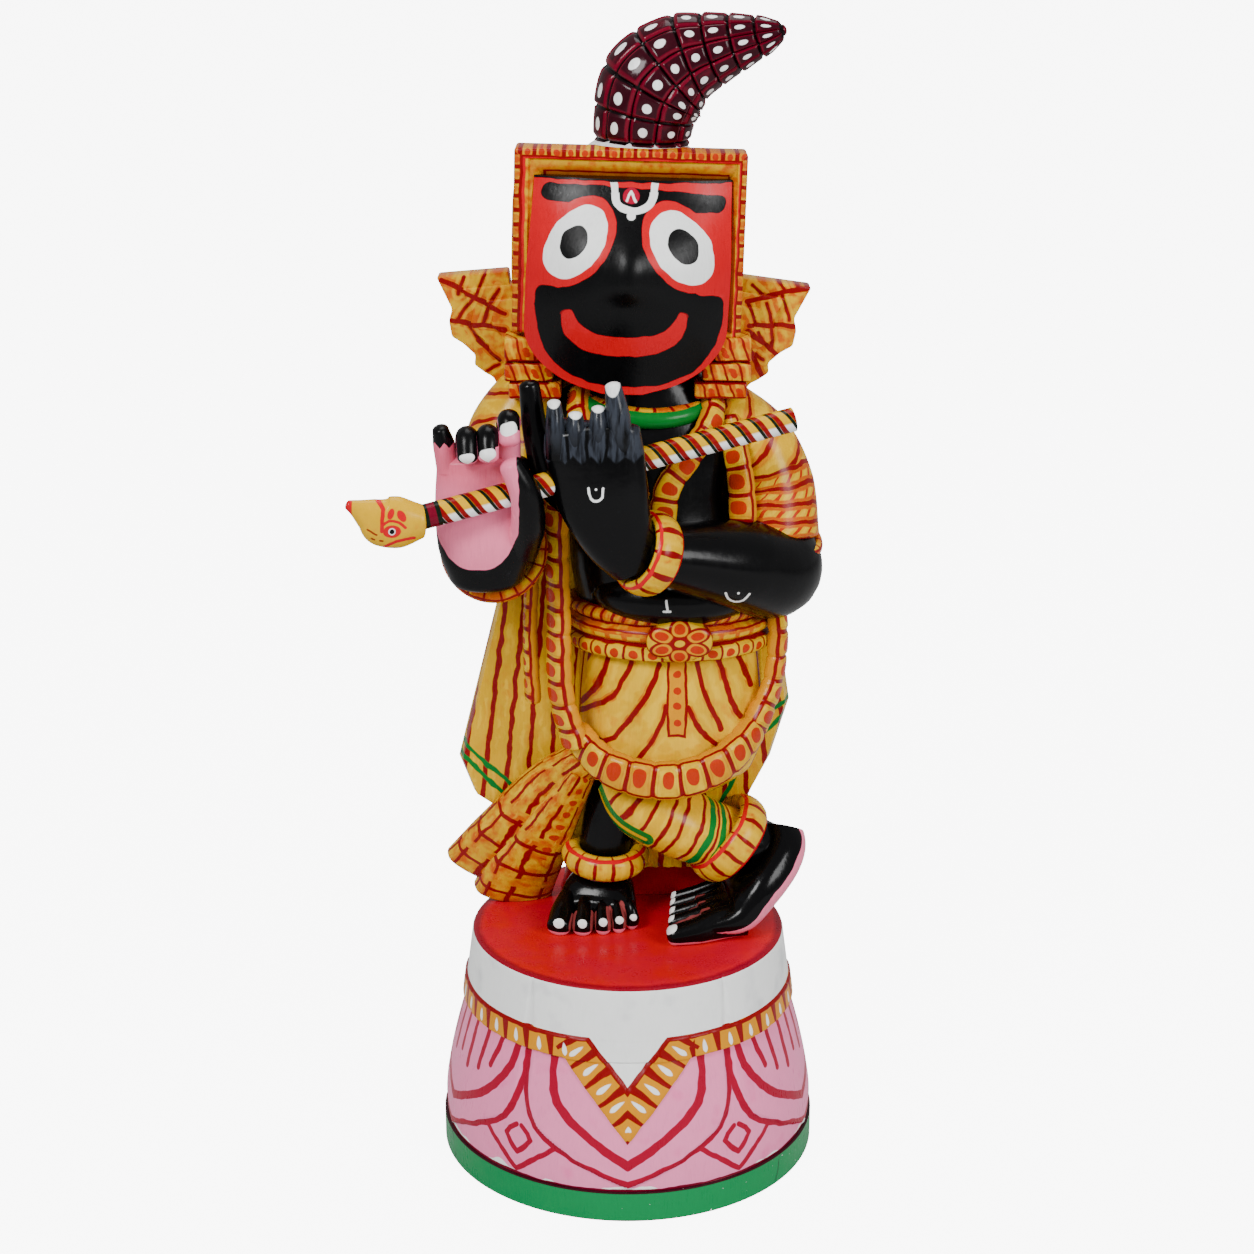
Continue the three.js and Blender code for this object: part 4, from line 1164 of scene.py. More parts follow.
def make_enamel():
    """Hand-laid enamel: its colour goes patchy, its gloss uneven and its skin wavy with brush hairs."""
    (paint, place, patchy, rough, hairs), end = new_group(
        "Enamel",
        (("Paint", "Color", (0.5, 0.5, 0.5, 1)), ("Vector", "Vector", FLAT), ("Patchiness", "Float", 0.3),
         ("Roughness", "Float", 0.25), ("Brush hairs", "Float", 0.05)),
        (("Base Color", "Color"), ("Roughness", "Float"), ("Height", "Float")))
    cloud = noise(place, 0.09, detail=3.0)
    streak = noise(mapped(place, (0.9, 0.9, 0.12)), 1.0, detail=3.0)
    tone = (cloud - 0.5) * patchy + (streak - 0.5) * patchy + 1
    feed(end["Base Color"], paint.scaled(tone))
    feed(end["Roughness"], (cloud * 0.2 + streak * 0.15 - 0.17) + rough)
    feed(end["Height"], streak * hairs + cloud * (hairs * 6))


GROUP_MAKERS = {
    "Brush shake": make_brush_shake,
    "Stroke": make_stroke,
    "Rounded shape": make_rounded_shape,
    "Cells": make_cells,
    "Dabs": make_dabs,
    "Enamel": make_enamel,
}


def effect(tree, name, values):
    """Places a shared node group with its own values: wires from its outputs."""
    if name not in bpy.data.node_groups:
        GROUP_MAKERS[name]()
    node = tree.nodes.new("ShaderNodeGroup")
    node.node_tree = bpy.data.node_groups[name]
    for label, value in values.items():
        feed(node.inputs[label], value)
    return [Wire(tree, socket) for socket in node.outputs]


def curved(path):
    """The same path with a point of a smooth curve added between each two."""
    if len(path) < 3:
        return path
    points = np.array(path, dtype=float)
    ends = np.concatenate([[2 * points[0] - points[1]], points, [2 * points[-1] - points[-2]]])
    between = (9 * (ends[1:-2] + ends[2:-1]) - ends[:-3] - ends[3:]) / 16
    return [tuple(point) for pair in zip(points, between) for point in pair] + [tuple(points[-1])]


class Coat:
    """A material while it is painted, with colours laid over one another inside masks."""

    def __init__(self, name, ground):
        self.material = bpy.data.materials.new(name)
        self.material.use_nodes = True
        self.tree = self.material.node_tree
        self.colour = ground
        coordinates = self.tree.nodes.new("ShaderNodeTexCoord")
        self.here = Wire(self.tree, coordinates.outputs["Object"])

    def from_floor(self):
        """Place in parts above the floor."""
        return self.here.scaled(1 / PART)

    def body(self):
        """Place in parts above the pedestal's top."""
        return mapped(self.here, (1 / PART,) * 3, move=(0, 0, -FOOT / PART))

    def head(self):
        """Place in parts, as if the head stood upright."""
        lean = math.radians(-HEAD["tilt"])
        pivot = Vector((HEAD["x"], 0, HEAD["top"]))
        move = pivot - Matrix.Rotation(lean, 3, "Y") @ (pivot + Vector((0, 0, FOOT / PART)))
        return mapped(self.here, (1 / PART,) * 3, turn=(0, lean, 0), move=tuple(move))

    def chart(self, reach=1 / PART):
        """Share round a strand and the way along it."""
        node = self.tree.nodes.new("ShaderNodeUVMap")
        round_share, along, _ = Wire(self.tree, node.outputs["UV"]).split()
        return round_share, along * reach

    def shaken(self, place, amount=None):
        amount = amount or sizes().shake / PART
        return effect(self.tree, "Brush shake", {"Vector": place, "Amount": amount})[0]

    def flat(self, across, up, amount=None):
        """Flat place from two numbers, as a shaking hand finds it."""
        return self.shaken(joined_place(across, up), amount)

    def front(self, amount=None, place=None):
        """Flat place seen from the front, and the depth behind it."""
        x, y, z = (place or self.body()).split()
        return self.flat(x, z, amount), y

    def lay(self, colour, mask):
        """Lays a colour over what is there."""
        self.colour = mixed(self.colour, colour, mask)

    def fill(self, colour, distance, soft=SOFT):
        """Lays a colour where a distance is below zero."""
        self.lay(colour, distance.inside(soft))

    def dabs(self, colour, place, size, cover):
        """Lays soft dabs of a colour."""
        self.lay(colour, effect(self.tree, "Dabs", {"Vector": place, "Size": size, "Cover": cover})[0])

    def strokes(self, flat, *paths):
        """Distance from brush strokes through points, curved where there are more than two."""
        return nearest(
            effect(self.tree, "Stroke", {"Vector": flat, "Start": (*first, 0), "End": (*last, 0)})[0]
            for path in map(curved, paths) for first, last in zip(path[:-1], path[1:]))

    def shape(self, flat, centre, wide, above, below=None, lean=0.0, square=2.0):
        """Distance outside a rounded shape."""
        return effect(self.tree, "Rounded shape", {
            "Vector": flat, "Centre": (*centre, 0), "Half width": wide, "Height above": above,
            "Height below": below or above, "Lean": lean, "Squareness": square})[0]

    def cells(self, along, length):
        """Way from a cell's middle, way to its edge and its own number."""
        return effect(self.tree, "Cells", {"Along": along, "Length": length})

    def finish(self, patchy, rough, hairs):
        """Gives the coat its enamel and returns the material."""
        shader = self.tree.nodes["Principled BSDF"]
        colour, roughness, height = effect(self.tree, "Enamel", {
            "Paint": self.colour, "Vector": self.from_floor(), "Patchiness": patchy,
            "Roughness": rough, "Brush hairs": hairs})
        feed(shader.inputs["Base Color"], colour)
        feed(shader.inputs["Roughness"], roughness)
        shader.inputs["Specular IOR Level"].default_value = ENAMEL_SPECULAR
        bump = self.tree.nodes.new("ShaderNodeBump")
        bump.inputs["Distance"].default_value = PART
        feed(bump.inputs["Height"], height)
        feed(shader.inputs["Normal"], Wire(self.tree, bump.outputs["Normal"]))
        return self.material


# Each paint by name: its ground colour, the function that lays the rest, its values and the finish.
PAINTS = {}


def recipe(ground, variants=None, patchy=0.25, rough=0.24, hairs=0.03):
    """Enters a paint under its function's name, or under the names of its variants with their values."""
    def enter(lay):
        for name, values in (variants or {lay.__name__.removeprefix("paint_"): {}}).items():
            PAINTS[name] = (ground, lay, values, (patchy, rough, hairs))
        return lay
    return enter


# Paints of the head

FRAME_EDGES = {"left": 5.2, "right": 2.7, "top": 3.4}


def dot_at(flat, centre, radius):
    """Distance outside a round dot."""
    return flat.vector("DISTANCE", (*centre, 0)) - radius


@recipe("red", patchy=0.2, rough=0.3, hairs=0.05)
def paint_face(coat, p):
    """Red face with round eyes, a broad black beard and brow, a red mouth, and a black line of painted
    shade along its top.
    """
    flat = coat.front(place=coat.head())[0]
    across, up, _ = flat.split()
    coat.dabs(p.rose, flat, 7, 0.25)
    beard = coat.shape(flat, (2.7, 338), 46, 42, square=2.6)
    beard = beard.math("SMOOTH_MAX", up + across * 0.04 - 342.7, 8.0)
    ridge = across.near(1.5, 20 + (353 - up).most(0) * 1.3).most(up.near(362, 27))
    brow = coat.strokes(flat, ((-36.6, 387.8), (3, 387), (43.8, 384))) - 4.4
    black = beard.math("SMOOTH_MIN", ridge, 3.0).math("SMOOTH_MIN", brow, 1.0)
    left = (-24.05, 365.8)
    right = (27.5, 364.3)
    around = coat.shape(flat, left, 18, 21.1, lean=0.368)
    around = around.least(coat.shape(flat, right, 18.4, 21.2, lean=-0.36))
    mouth = coat.shape(flat, (0.3, 331), 30.8, 5.5, 19.4, square=2.5)
    mouth = mouth.math("SMOOTH_MAX", -coat.shape(flat, (0.9, 345), 26.6, 23.4, square=2.8), 2.0)
    coat.fill(p.black, black.most(-around))
    coat.fill(p.red, mouth)
    whites = coat.shape(flat, left, 14, 17.1, lean=0.368)
    whites = whites.least(coat.shape(flat, right, 14.6, 17.2, lean=-0.36))
    coat.fill(p.white, whites)
    pupils = coat.shape(flat, (-24.8, 366.1), 6.5, 7.9, lean=0.3)
    pupils = pupils.least(coat.shape(flat, (27.9, 365.3), 7.1, 8.3, lean=-0.32))
    coat.fill(p.black, pupils)
    bowl = abs(coat.shape(flat, (3.6, 389.5), 9.3, 8.4)) - 1.7
    arms = coat.strokes(flat, ((-6.6, 396), (-5.8, 389)), ((13.4, 396), (12.9, 389))) - 1.5
    coat.fill(p.petal, coat.shape(flat, (2.4, 388), 4, 3.5))
    leaf = coat.strokes(flat, ((0.6, 385.8), (2.3, 389.4), (4.6, 385.6))) - 0.65
    marks = bowl.most(up - 389.3).least(arms).least(leaf).least(dot_at(flat, (2.2, 378.9), 2.2))
    coat.fill(p.white, marks)
    # Black along the face's top edge: painted shade in the crease under the crown.
    coat.fill(p.black, 393.9 - up)


@recipe("yellow", patchy=0.3, rough=0.26)
def paint_crown(coat, p):
    """Frame round the face: a border of cells, a red line, and a slope from yellow to orange, the orange
    being painted shade deeper in the recess.
    """
    flat, y = coat.front(0.4, coat.head())
    across, up, _ = flat.split()
    left = (across - (HEAD["x"] - HEAD["half"])) / FRAME_EDGES["left"]
    right = (HEAD["x"] + HEAD["half"] - across) / FRAME_EDGES["right"]
    above = (HEAD["top"] - up) / FRAME_EDGES["top"]
    sides = left.least(right)
    inset = sides.least(above)
    on_top = (above - sides).inside(0.1)
    coat.dabs(p.orange, flat, 5, 0.45)
    # Orange deepening into the recess round the face: painted shade.
    coat.lay(p.orange, inset.rise(1.5, 3.4) * 0.8)
    middle, edge, chance = coat.cells(up + (across - up + 3) * on_top, 7)
    border = (inset - 1).inside(0.1)
    coat.lay(p.orange, border * chance.rise(0.2, 0.9) * 0.7)
    dots = far(middle, inset * 3 - 1.6) - 1.5
    coat.lay(p.dot, border * dots.inside() * (on_top * 0.5 + 0.5))
    coat.lay(p.line, border * (edge - 1.05).inside())
    coat.lay(p.line, inset.between(0.94, 1.32, 0.08))
    coat.lay(p.red, inset.between(1.24, 1.5, 0.1))
    coat.lay(p.line, inset.between(3.1, 3.4, 0.08))
    notch = across.near(10.2, 7).most(392.6 - up).most(up - 396.5)
    coat.fill(p.black, notch.most(-1.5 - y))


@recipe("orange", patchy=0.35, rough=0.3)
def paint_crown_back(coat, p):
    """Round back of the crown: orange and yellow bands with rows of dots and red lines."""
    x, y, z = coat.head().split()
    flat = coat.flat(x + z, y, 0.6)
    along, deep, _ = flat.split()
    coat.dabs(p.yellow, flat, 9, 0.5)
    bands = (deep - 18).every(15)
    middle, edge, chance = coat.cells(along, 11)
    coat.lay(p.yellow, (bands - 3.4).inside() * chance.rise(0.1, 0.4))
    coat.lay(p.line, (edge - 0.9).inside() * (bands - 4).inside())
    coat.fill(p.dot, far(middle, bands) - 2.2)
    coat.lay(p.line, bands.between(3.7, 5.2))


@recipe("white", patchy=0.12, rough=0.45)
def paint_seat(coat, p):
    """White primer under the crest, a little dusty."""
    coat.dabs(p.dust, coat.body(), 4, 0.3)


RIGHT_WING_RIBS = (
    ((62, 333), (93.2, 340.2)), ((62.9, 321.5), (86.5, 320.7)), ((62.3, 318.6), (79.5, 304.3)),
    ((63.1, 310.4), (70.9, 294.9)))
RIGHT_WING_BARS = (
    ((63.8, 341), (70.2, 335.8)), ((77.3, 342.4), (80.5, 338)), ((85.8, 341.7), (88.1, 338.9)),
    ((62.7, 331.7), (66.9, 321.6)), ((71.6, 332), (75.3, 321.8)), ((79.1, 335.8), (83.7, 323.9)),
    ((68.4, 317.1), (69.9, 312.6)), ((74.5, 320), (75.5, 308)), ((66, 306), (71.5, 303)))
LEFT_WING_RIBS = (
    ((-91.2, 339), (-59.4, 323.9)), ((-86, 318.6), (-59.3, 315.6)), ((-72.5, 309.2), (-61.9, 299.8)))
LEFT_WING_BARS = (
    ((-80.4, 340.4), (-82.9, 332.1)), ((-69.6, 341.5), (-74.4, 331.8), (-84.1, 317.9)),
    ((-62.3, 335.9), (-66.5, 327.5), (-70, 317.5)), ((-77, 316), (-71, 308)), ((-62, 297), (-68, 293)))


@recipe("yellow", patchy=0.3)
def paint_wing(coat, p):
    """Feathers beside the head: yellow, with thick red ribs, thinner bars across and orange shade."""
    flat = coat.front(0.7, coat.head())[0]
    coat.dabs(p.orange, flat, 6, 0.5)
    ribs = coat.strokes(flat, *RIGHT_WING_RIBS, *LEFT_WING_RIBS)
    bars = coat.strokes(flat, *RIGHT_WING_BARS, *LEFT_WING_BARS)
    coat.lay(p.orange, ribs.between(1, 2.6) * 0.8)
    coat.lay(p.cream_and_highlight, bars.between(1.6, 3) * 0.5)
    coat.fill(p.line, (ribs - 1.35).least(bars - 0.95))


@recipe("yellow", patchy=0.35, rough=0.28)
def paint_ear_drop(coat, p):
    """Blocks of the ear drops: yellow and orange, with short red bars and a red line at each step."""
    x, y, z = coat.body().split()
    flat = coat.flat(x + y * 0.5, z, 0.8)
    along, up, _ = flat.split()
    coat.dabs(p.orange, flat, 6, 0.55)
    middle, edge, chance = coat.cells(along + up * 0.3, 7)
    coat.lay(p.cream_and_highlight, (abs(middle) - 0.8).inside() * 0.5)
    coat.lay(p.dot, (far(middle, up.every(10) - 1) - 1.6).inside() * chance.rise(0.4, 0.5))
    coat.fill(p.line, edge - 0.6)
    steps = up.near(305.4, 1).least(up.near(295.6, 1)).least(up.near(287.4, 0.9))
    coat.fill(p.line, steps)


# Paints of the body

PALM_HOLLOW = ((-73, 250), 21.3, 60, 36.5)


@recipe("black", patchy=0.4, rough=0.2, hairs=0.035)
def paint_skin(coat, p):
    """Black skin with the small white marks of the elbow and the navel."""
    flat, y = coat.front(0.15)
    marks = coat.strokes(
        flat, ((48.2, 197.4), (49.6, 193.6), (53, 191.2), (57.2, 191.8), (60.2, 195.6)),
        ((19.2, 190), (19.8, 185.1)), ((17.9, 184.4), (21.1, 184.5)))
    marks = (marks - 0.6).least(dot_at(flat, (54.7, 196.7), 0.7))
    coat.lay(p.white, marks.inside(0.25) * (y + 12).inside(1))


# Each nail of the hand is x, its height, its half width and half height.
FINGER_NAILS = ((-35, 297.5, 3.4, 3.2), (-25, 292, 3.6, 2.6), (-14, 295, 3.4, 2.6), (-7.3, 304.5, 3.6, 4.6))


@recipe("black", patchy=0.4, rough=0.2, hairs=0.05)
def paint_hand_back(coat, p):
    """Back of the hand: a grey painted highlight down the fingers ends in points, with dark grooves between
    where it stops.
    """
    flat, y = coat.front(0.5)
    across, up, _ = flat.split()
    points = 272 - (across + 34).every(8.2) * 0.9 - up
    streaks = noise(mapped(flat, (0.5, 0.07, 1)), 1.0).rise(0.32, 0.6)
    # Grey down the fingers, ending in points: painted highlight.
    coat.lay(p.finger_highlight, points.inside(1.2) * streaks * 0.7)
    grooves = coat.strokes(
        flat, ((-29.5, 285), (-28, 268)), ((-19.3, 285), (-19, 266)), ((-9, 285), (-11, 267)))
    coat.fill(p.black, grooves - 0.8, 0.5)
    mark = coat.strokes(
        flat, ((-18.8, 256.9), (-17.7, 251.9), (-14.6, 250.6), (-12.2, 252.6), (-11.8, 256.9))) - 0.6
    coat.lay(p.white, mark.least(dot_at(flat, (-15.2, 256.3), 0.6)).inside(0.25) * (y + 12).inside(1))


@recipe("black", patchy=0.4, rough=0.2, hairs=0.035)
def paint_finger(coat, p):
    """Black fingers with white nails at their tips, and a grey painted highlight that grows towards the
    tips.
    """
    flat, y = coat.front(0.4)
    up = flat.split()[1]
    nails = nearest(coat.shape(flat, (side, level), wide, high) for side, level, wide, high in FINGER_NAILS)
    streaks = noise(mapped(flat, (0.5, 0.07, 1)), 1.0).rise(0.3, 0.55)
    # Grey growing towards the fingertips: painted highlight.
    coat.lay(p.finger_highlight, up.rise(272, 290) * streaks * 0.8)
    coat.lay(p.white, nails.inside(0.5) * (y + 62).inside(2))


@recipe("black", patchy=0.14, rough=0.28)
def paint_palm(coat, p):
    """Pink palm inside a black edge, redder towards the curled fingers as painted shade under them."""
    x, y, z = coat.body().split()
    flat = coat.flat(x, z, 0.6)
    across, up, _ = flat.split()
    tip = (274 + across.every(5) - up).most(across + 83)
    pink = coat.shape(flat, *PALM_HOLLOW, square=2.4).most(-tip).inside() * (y + 48).inside(1.5)
    coat.lay(p.pink, pink)
    # Rose over the upper palm: painted shade under the curled fingers.
    coat.lay(p.rose, pink * z.rise(252, 262) * 0.3)


@recipe("black", patchy=0.2, rough=0.25)
def paint_curled_finger(coat, p):
    """Curled finger: black over its back, pink beneath and a white nail."""
    round_share, along = coat.chart()
    flat = coat.flat(round_share * 36, along, 0.7)
    across, up, _ = flat.split()
    beneath = 7.5 - abs(across - 18)
    coat.fill(p.pink, beneath)
    coat.fill(p.pink, 36.5 - up)
    x, _, z = coat.body().split()
    coat.lay(p.pink, (-62.5 - x).inside() * (z - 277).inside())
    coat.fill(p.white, coat.shape(flat, (17.5, 36.2), 5, 3))


@recipe("black", patchy=0.2, rough=0.25)
def paint_palm_thumb(coat, p):
    """Thumb: pink towards the palm, black outside."""
    flat, y = coat.front(0.6)
    coat.lay(p.pink, coat.shape(flat, *PALM_HOLLOW, square=2.4).inside() * (y + 48).inside(1.5))


TOE_NAILS = (
    (-36.5, -21.6, 8.3, 3.1), (-24, -21.8, 8, 2.6), (-13, -20, 8, 2.3), (-4.5, -17.6, 8, 2.2),
    (3, -13.8, 8, 2.1), (22.5, -30, 9, 3.6), (22, -16.5, 9, 3), (22.4, -5.5, 9, 2.8), (23, 5.5, 9, 2.7),
    (23.6, 14.5, 9, 2.6))
TOE_GAPS = (
    ((-30.5, -25), (-28.5, -14)), ((-18.6, -24), (-18, -13)), ((-8.8, -22), (-9.8, -12)),
    ((-0.8, -18), (-3, -10)), ((22, -22), (42, -19)), ((22, -10.5), (40, -9)), ((22, 0.5), (40, 1)),
    ((23, 10.5), (38, 9.5)))


@recipe("black", patchy=0.3, rough=0.18)
def paint_toe(coat, p):
    """Black toes with round white nails, brown painted shade between them and pink beneath them."""
    place = coat.shaken(coat.body(), 0.4)
    x, y, z = place.split()
    gaps = coat.strokes(joined_place(x, y), *TOE_GAPS) - 1.5
    # Brown between the toes is painted shade.
    coat.fill(p.toe_gap_shade, gaps.most(2 - z))
    coat.fill(p.pink, z - 2.6)
    nails = nearest(place.vector("DISTANCE", middle) - radius for *middle, radius in TOE_NAILS)
    coat.fill(p.white, nails)


@recipe("black", patchy=0.4, rough=0.15)
def paint_foot(coat, p):
    """Black foot with brown painted shade between the toes and a pink edge where it meets the ground."""
    x, y, z = coat.shaken(coat.body()).split()
    # Brown between the toes is painted shade.
    coat.fill(p.toe_gap_shade, coat.strokes(joined_place(x, y), *TOE_GAPS) - 1.3)
    coat.lay(p.pink, (z - 1.6).inside() * (y + 2).inside(2))


@recipe("black", patchy=0.3, rough=0.16)
def paint_raised_foot(coat, p):
    """Raised foot: black above, with brown painted shade between the toes and a pink sole that wraps its
    edge.
    """
    round_share, along = coat.chart()
    across, up, _ = coat.flat(round_share * 100, along, 0.8).split()
    x, y, z = coat.body().split()
    # Brown between the toes is painted shade.
    coat.fill(p.toe_gap_shade, (coat.strokes(joined_place(x, y), *TOE_GAPS) - 1.3).most(z - 40))
    coat.fill(p.pink, 79 - across + (up - 70).most(0) * 0.3)


@recipe("yellow", {
    "garland": {"girth": 36, "dot": 3.1},
    "swag": {"girth": 48, "dot": 2.9, "lift": 1.8, "front": 0.158},
    "tassel": {"girth": 24, "dot": 1.8, "cell": 12},
})
def paint_strand(coat, p, girth, dot, cell=None, lift=0.0, front=0.215):
    """Strand of cells: a dot in each, double bars between them and red edges."""
    cell = cell or sizes().cell / PART
    round_share, along = coat.chart()
    flat = coat.flat((round_share - 0.5) * girth - lift, along, 0.5)
    across, run, _ = flat.split()
    middle, edge, chance = coat.cells(run, cell)
    face = girth * front
    coat.dabs(p.cream_and_highlight, flat, 4, 0.45)
    coat.fill(p.orange, face - abs(across) + edge - 3.6, 1.5)
    coat.lay(p.orange, chance.rise(0.55, 0.7) * 0.4)
    place = far(middle + chance - 0.5, across)
    coat.fill(p.dot, place - chance * 0.6 - dot)
    coat.lay(p.line, edge.between(-0.2, 1.15) + edge.between(2.0, 2.5, 0.5) * 0.25)
    coat.fill(p.amber, face - abs(across))
    coat.lay(p.line, abs(across).between(face * 0.86, face * 1.1))


@recipe("orange", patchy=0.3)
def paint_belt(coat, p):
    """Belt: a row of cells with dots below, a plain orange roll, and a roll of red strokes above."""
    z = coat.body().split()[2]
    round_share = coat.chart()[0]
    flat = coat.flat(round_share * 305, z, 0.5)
    across, up, _ = flat.split()
    coat.dabs(p.yellow, flat, 5, 0.4)
    middle, edge, chance = coat.cells(across, 9.2)
    low = (up - 163).inside()
    coat.lay(p.yellow, low)
    coat.lay(p.cream_and_highlight, low * chance.rise(0.5, 0.6) * 0.7)
    coat.lay(p.dot, low * (far(middle, up - 159.2) - 2.3).inside())
    coat.lay(p.line, low * (edge - 0.65).inside())
    dashes = (abs(middle) - 3.2).most(abs(up - 167) - 1.2)
    coat.fill(p.yellow, dashes)
    coat.fill(p.line, up.near(170.3, 0.6))
    high = (174 - up).inside()
    strokes = (across + up * 0.4).every(6.3) - 0.9
    coat.lay(p.yellow, high * (1.6 - strokes).inside(1) * 0.6)
    coat.lay(p.line, high * strokes.inside())
    lines = nearest(up.near(z, half) for z, half in ((163.7, 0.8), (173.3, 0.8), (155.2, 0.9), (181, 0.6)))
    coat.fill(p.line, lines)


@recipe("yellow")
def paint_boss(coat, p):
    """Flower of six petals with a yellow heart."""
    x, _, z = coat.body().split()
    flat = coat.flat((x - WAIST[0] - 4) * 0.7, z - 167.5, 0.3)
    across, up, _ = flat.split()
    reach = flat.vector("LENGTH")
    turn = across.math("ARCTAN2", up) * (180 / math.pi)
    petal = coat.shape(joined_place(turn.every(60) * reach * (math.pi / 180), reach), (0, 7.4), 3.6, 4, 4.6)
    coat.fill(p.orange, reach - 4.6, 2)
    coat.fill(p.amber, petal + 0.3)
    coat.fill(p.dot, petal + 1.5)
    coat.fill(p.line, petal.near(0, 0.6))
    coat.fill(p.line, 11.6 - reach)
    coat.fill(p.line, reach - 2.7)
    coat.fill(p.yellow, reach - 1.8)


SKIRT_STROKES = (
    ((15.8, 153.1), (9.5, 136.1), (-7.0, 112.9), (-15.9, 109.9)),
    ((1.9, 152.6), (-7.0, 135.1), (-24.8, 120.7)), ((-8.8, 158.4), (-14.7, 139.3), (-26.7, 122.7)),
    ((-18.4, 158.2), (-26.7, 136.0)), ((19.6, 131.0), (15.8, 119.5), (4, 101)),
    ((34.5, 157.0), (38.6, 139.3), (47.8, 117.2)),
    ((44.6, 158.9), (52.8, 132.3), (58.2, 121.6)), ((54.9, 157.2), (63.5, 136.1)),
    ((30.3, 131.2), (37.4, 118), (47, 108)))


@recipe("yellow", patchy=0.22)
def paint_skirt(coat, p):
    """Skirt: curved dark red pleats on yellow in front, with a dotted strip down its middle, and cream
    painted highlight between the pleats.
    """
    x, y, z = coat.body().split()
    round_share = coat.chart()[0]
    flat = coat.flat(x, z, 0.6)
    across, up, _ = flat.split()
    pleat = coat.strokes(flat, *SKIRT_STROKES)
    front = (y + 4).inside(1)
    coat.dabs(p.amber, flat, 9, 0.35)
    light = noise(flat, 0.09)
    # Cream streaks between the pleat lines: painted highlight on the folds.
    coat.lay(p.cream_and_highlight, light.rise(0.42, 0.5) * pleat.rise(3.2, 4.6) * 0.8)
    coat.lay(p.orange, pleat.between(1.2, 2.3) * noise(flat, 0.1).rise(0.5, 0.6) * 0.8)
    folds = (round_share * 305).every(305 / 13) - 1.1
    coat.fill(p.line, folds + (pleat - 1.35 - folds) * front)
    strip = across.near(25, 4.4).most(116 - up)
    coat.lay(p.amber, strip.inside() * front)
    dots = far(across - 25.2, up.every(8.2)) - 1.9
    coat.lay(p.dot, dots.most(strip).inside() * front)
    coat.lay(p.line, strip.near(0, 0.7).inside() * front)


@recipe("yellow", patchy=0.22, rough=0.26)
def paint_shawl(coat, p):
    """Shawl: dark red lines that fan out down its folds, cream painted highlight between them, and a green
    double hem.
    """
    flat, y = coat.front(0.9)
    across, up, _ = flat.split()
    # Behind the edges the lines go on outwards, so that none is stretched over the shawl's sides.
    round_share = coat.chart()[0]
    behind = (round_share.least(1 - round_share) * 300 + y - 20) * (22 - y).inside()
    fan = (across + (round_share - 0.5).math("SIGN") * behind) / (675 - up) + 0.127
    coat.dabs(p.amber, flat, 12, 0.35)
    light = noise(mapped(flat, (0.3, 0.03, 1)), 1.0)
    lines = fan.every(0.0193) * (675 - up)
    # Cream streaks between the lines: painted highlight on the folds.
    coat.lay(p.cream_and_highlight, light.rise(0.5, 0.62) * lines.rise(2.6, 4))
    coat.fill(p.line, lines - 1.35)
    hems = coat.strokes(
        flat, ((-92, 100.5), (-61, 70), (-42, 54)), ((-94, 95.5), (-68, 68), (-48, 48)),
        ((92, 125), (71.5, 109.5), (60, 89)), ((90, 116), (71.5, 101), (58, 78), (48, 56)))
    coat.fill(p.green, hems - 1.25)


@recipe("yellow", patchy=0.3)
def paint_sleeve(coat, p):
    """Sleeve: slanting red folds with cream streaks of painted highlight, a strip of strokes and rings of
    red and orange above the hem.
    """
    round_share, along = coat.chart()
    flat = coat.flat((round_share - 0.5) * 130, along, 1.0)
    across, up, _ = flat.split()
    light = noise(mapped(flat, (0.07, 0.22, 1)), 1.0)
    # Cream streaks over the sleeve: painted highlight.
    coat.lay(p.cream_and_highlight, light.rise(0.5, 0.6) * 0.9)
    slant = (up + across * 0.45).every(15)
    coat.lay(p.orange, slant.between(1, 3.2, 1) * 0.6)
    coat.fill(p.line, slant - 1.15)
    low = (39 - up).inside()
    coat.lay(p.yellow, low)
    middle, edge, chance = coat.cells(across + up * 0.8, 7.5)
    coat.lay(p.dot, low * (edge - 1.1).inside() * chance.rise(0.3, 0.5))
    coat.lay(p.cream_and_highlight, low * (abs(middle) - 1).inside() * 0.7)
    rings = (up - 40).every(9)
    coat.lay(p.orange, low * rings.between(1.1, 2.8, 0.6))
    coat.lay(p.line, low * (rings - 1.1).inside())


@recipe("yellow", patchy=0.3)
def paint_hem(coat, p):
    """Rolled hem of a sleeve: orange, with a red line and small dark strokes."""
    turn, around = coat.chart(1.0)
    flat = coat.flat(turn * 155, around * 20, 0.6)
    along, roll, _ = flat.split()
    coat.dabs(p.orange, flat, 6, 0.6)
    coat.lay(p.line, (along.every(8.5) - 0.6).inside() * roll.rise(2, 4))
    coat.fill(p.line, abs(roll - 10).near(2.6, 0.7))


@recipe("yellow", {
    "cuff": {"length": 126, "cell": 11.5, "bar": 1.6},
    "anklet": {"length": 113, "cell": 8, "bar": 1.0},
}, patchy=0.3)
def paint_band(coat, p, length, cell, bar):
    """Band round a wrist or an ankle: yellow cells, dark red bars and red edges."""
    turn, around = coat.chart(1.0)
    flat = coat.flat(turn * length, around * 40 - 20, 0.6)
    along, across, _ = flat.split()
    coat.dabs(p.orange, flat, 5, 0.35)
    middle, edge, _ = coat.cells(along, cell)
    coat.lay(p.cream_and_highlight, (abs(middle) - 1.0).inside(1) * 0.5)
    coat.fill(p.line, edge - bar + abs(across) * 0.06)
    coat.fill(p.red, abs(across).near(6.6, 1.2))


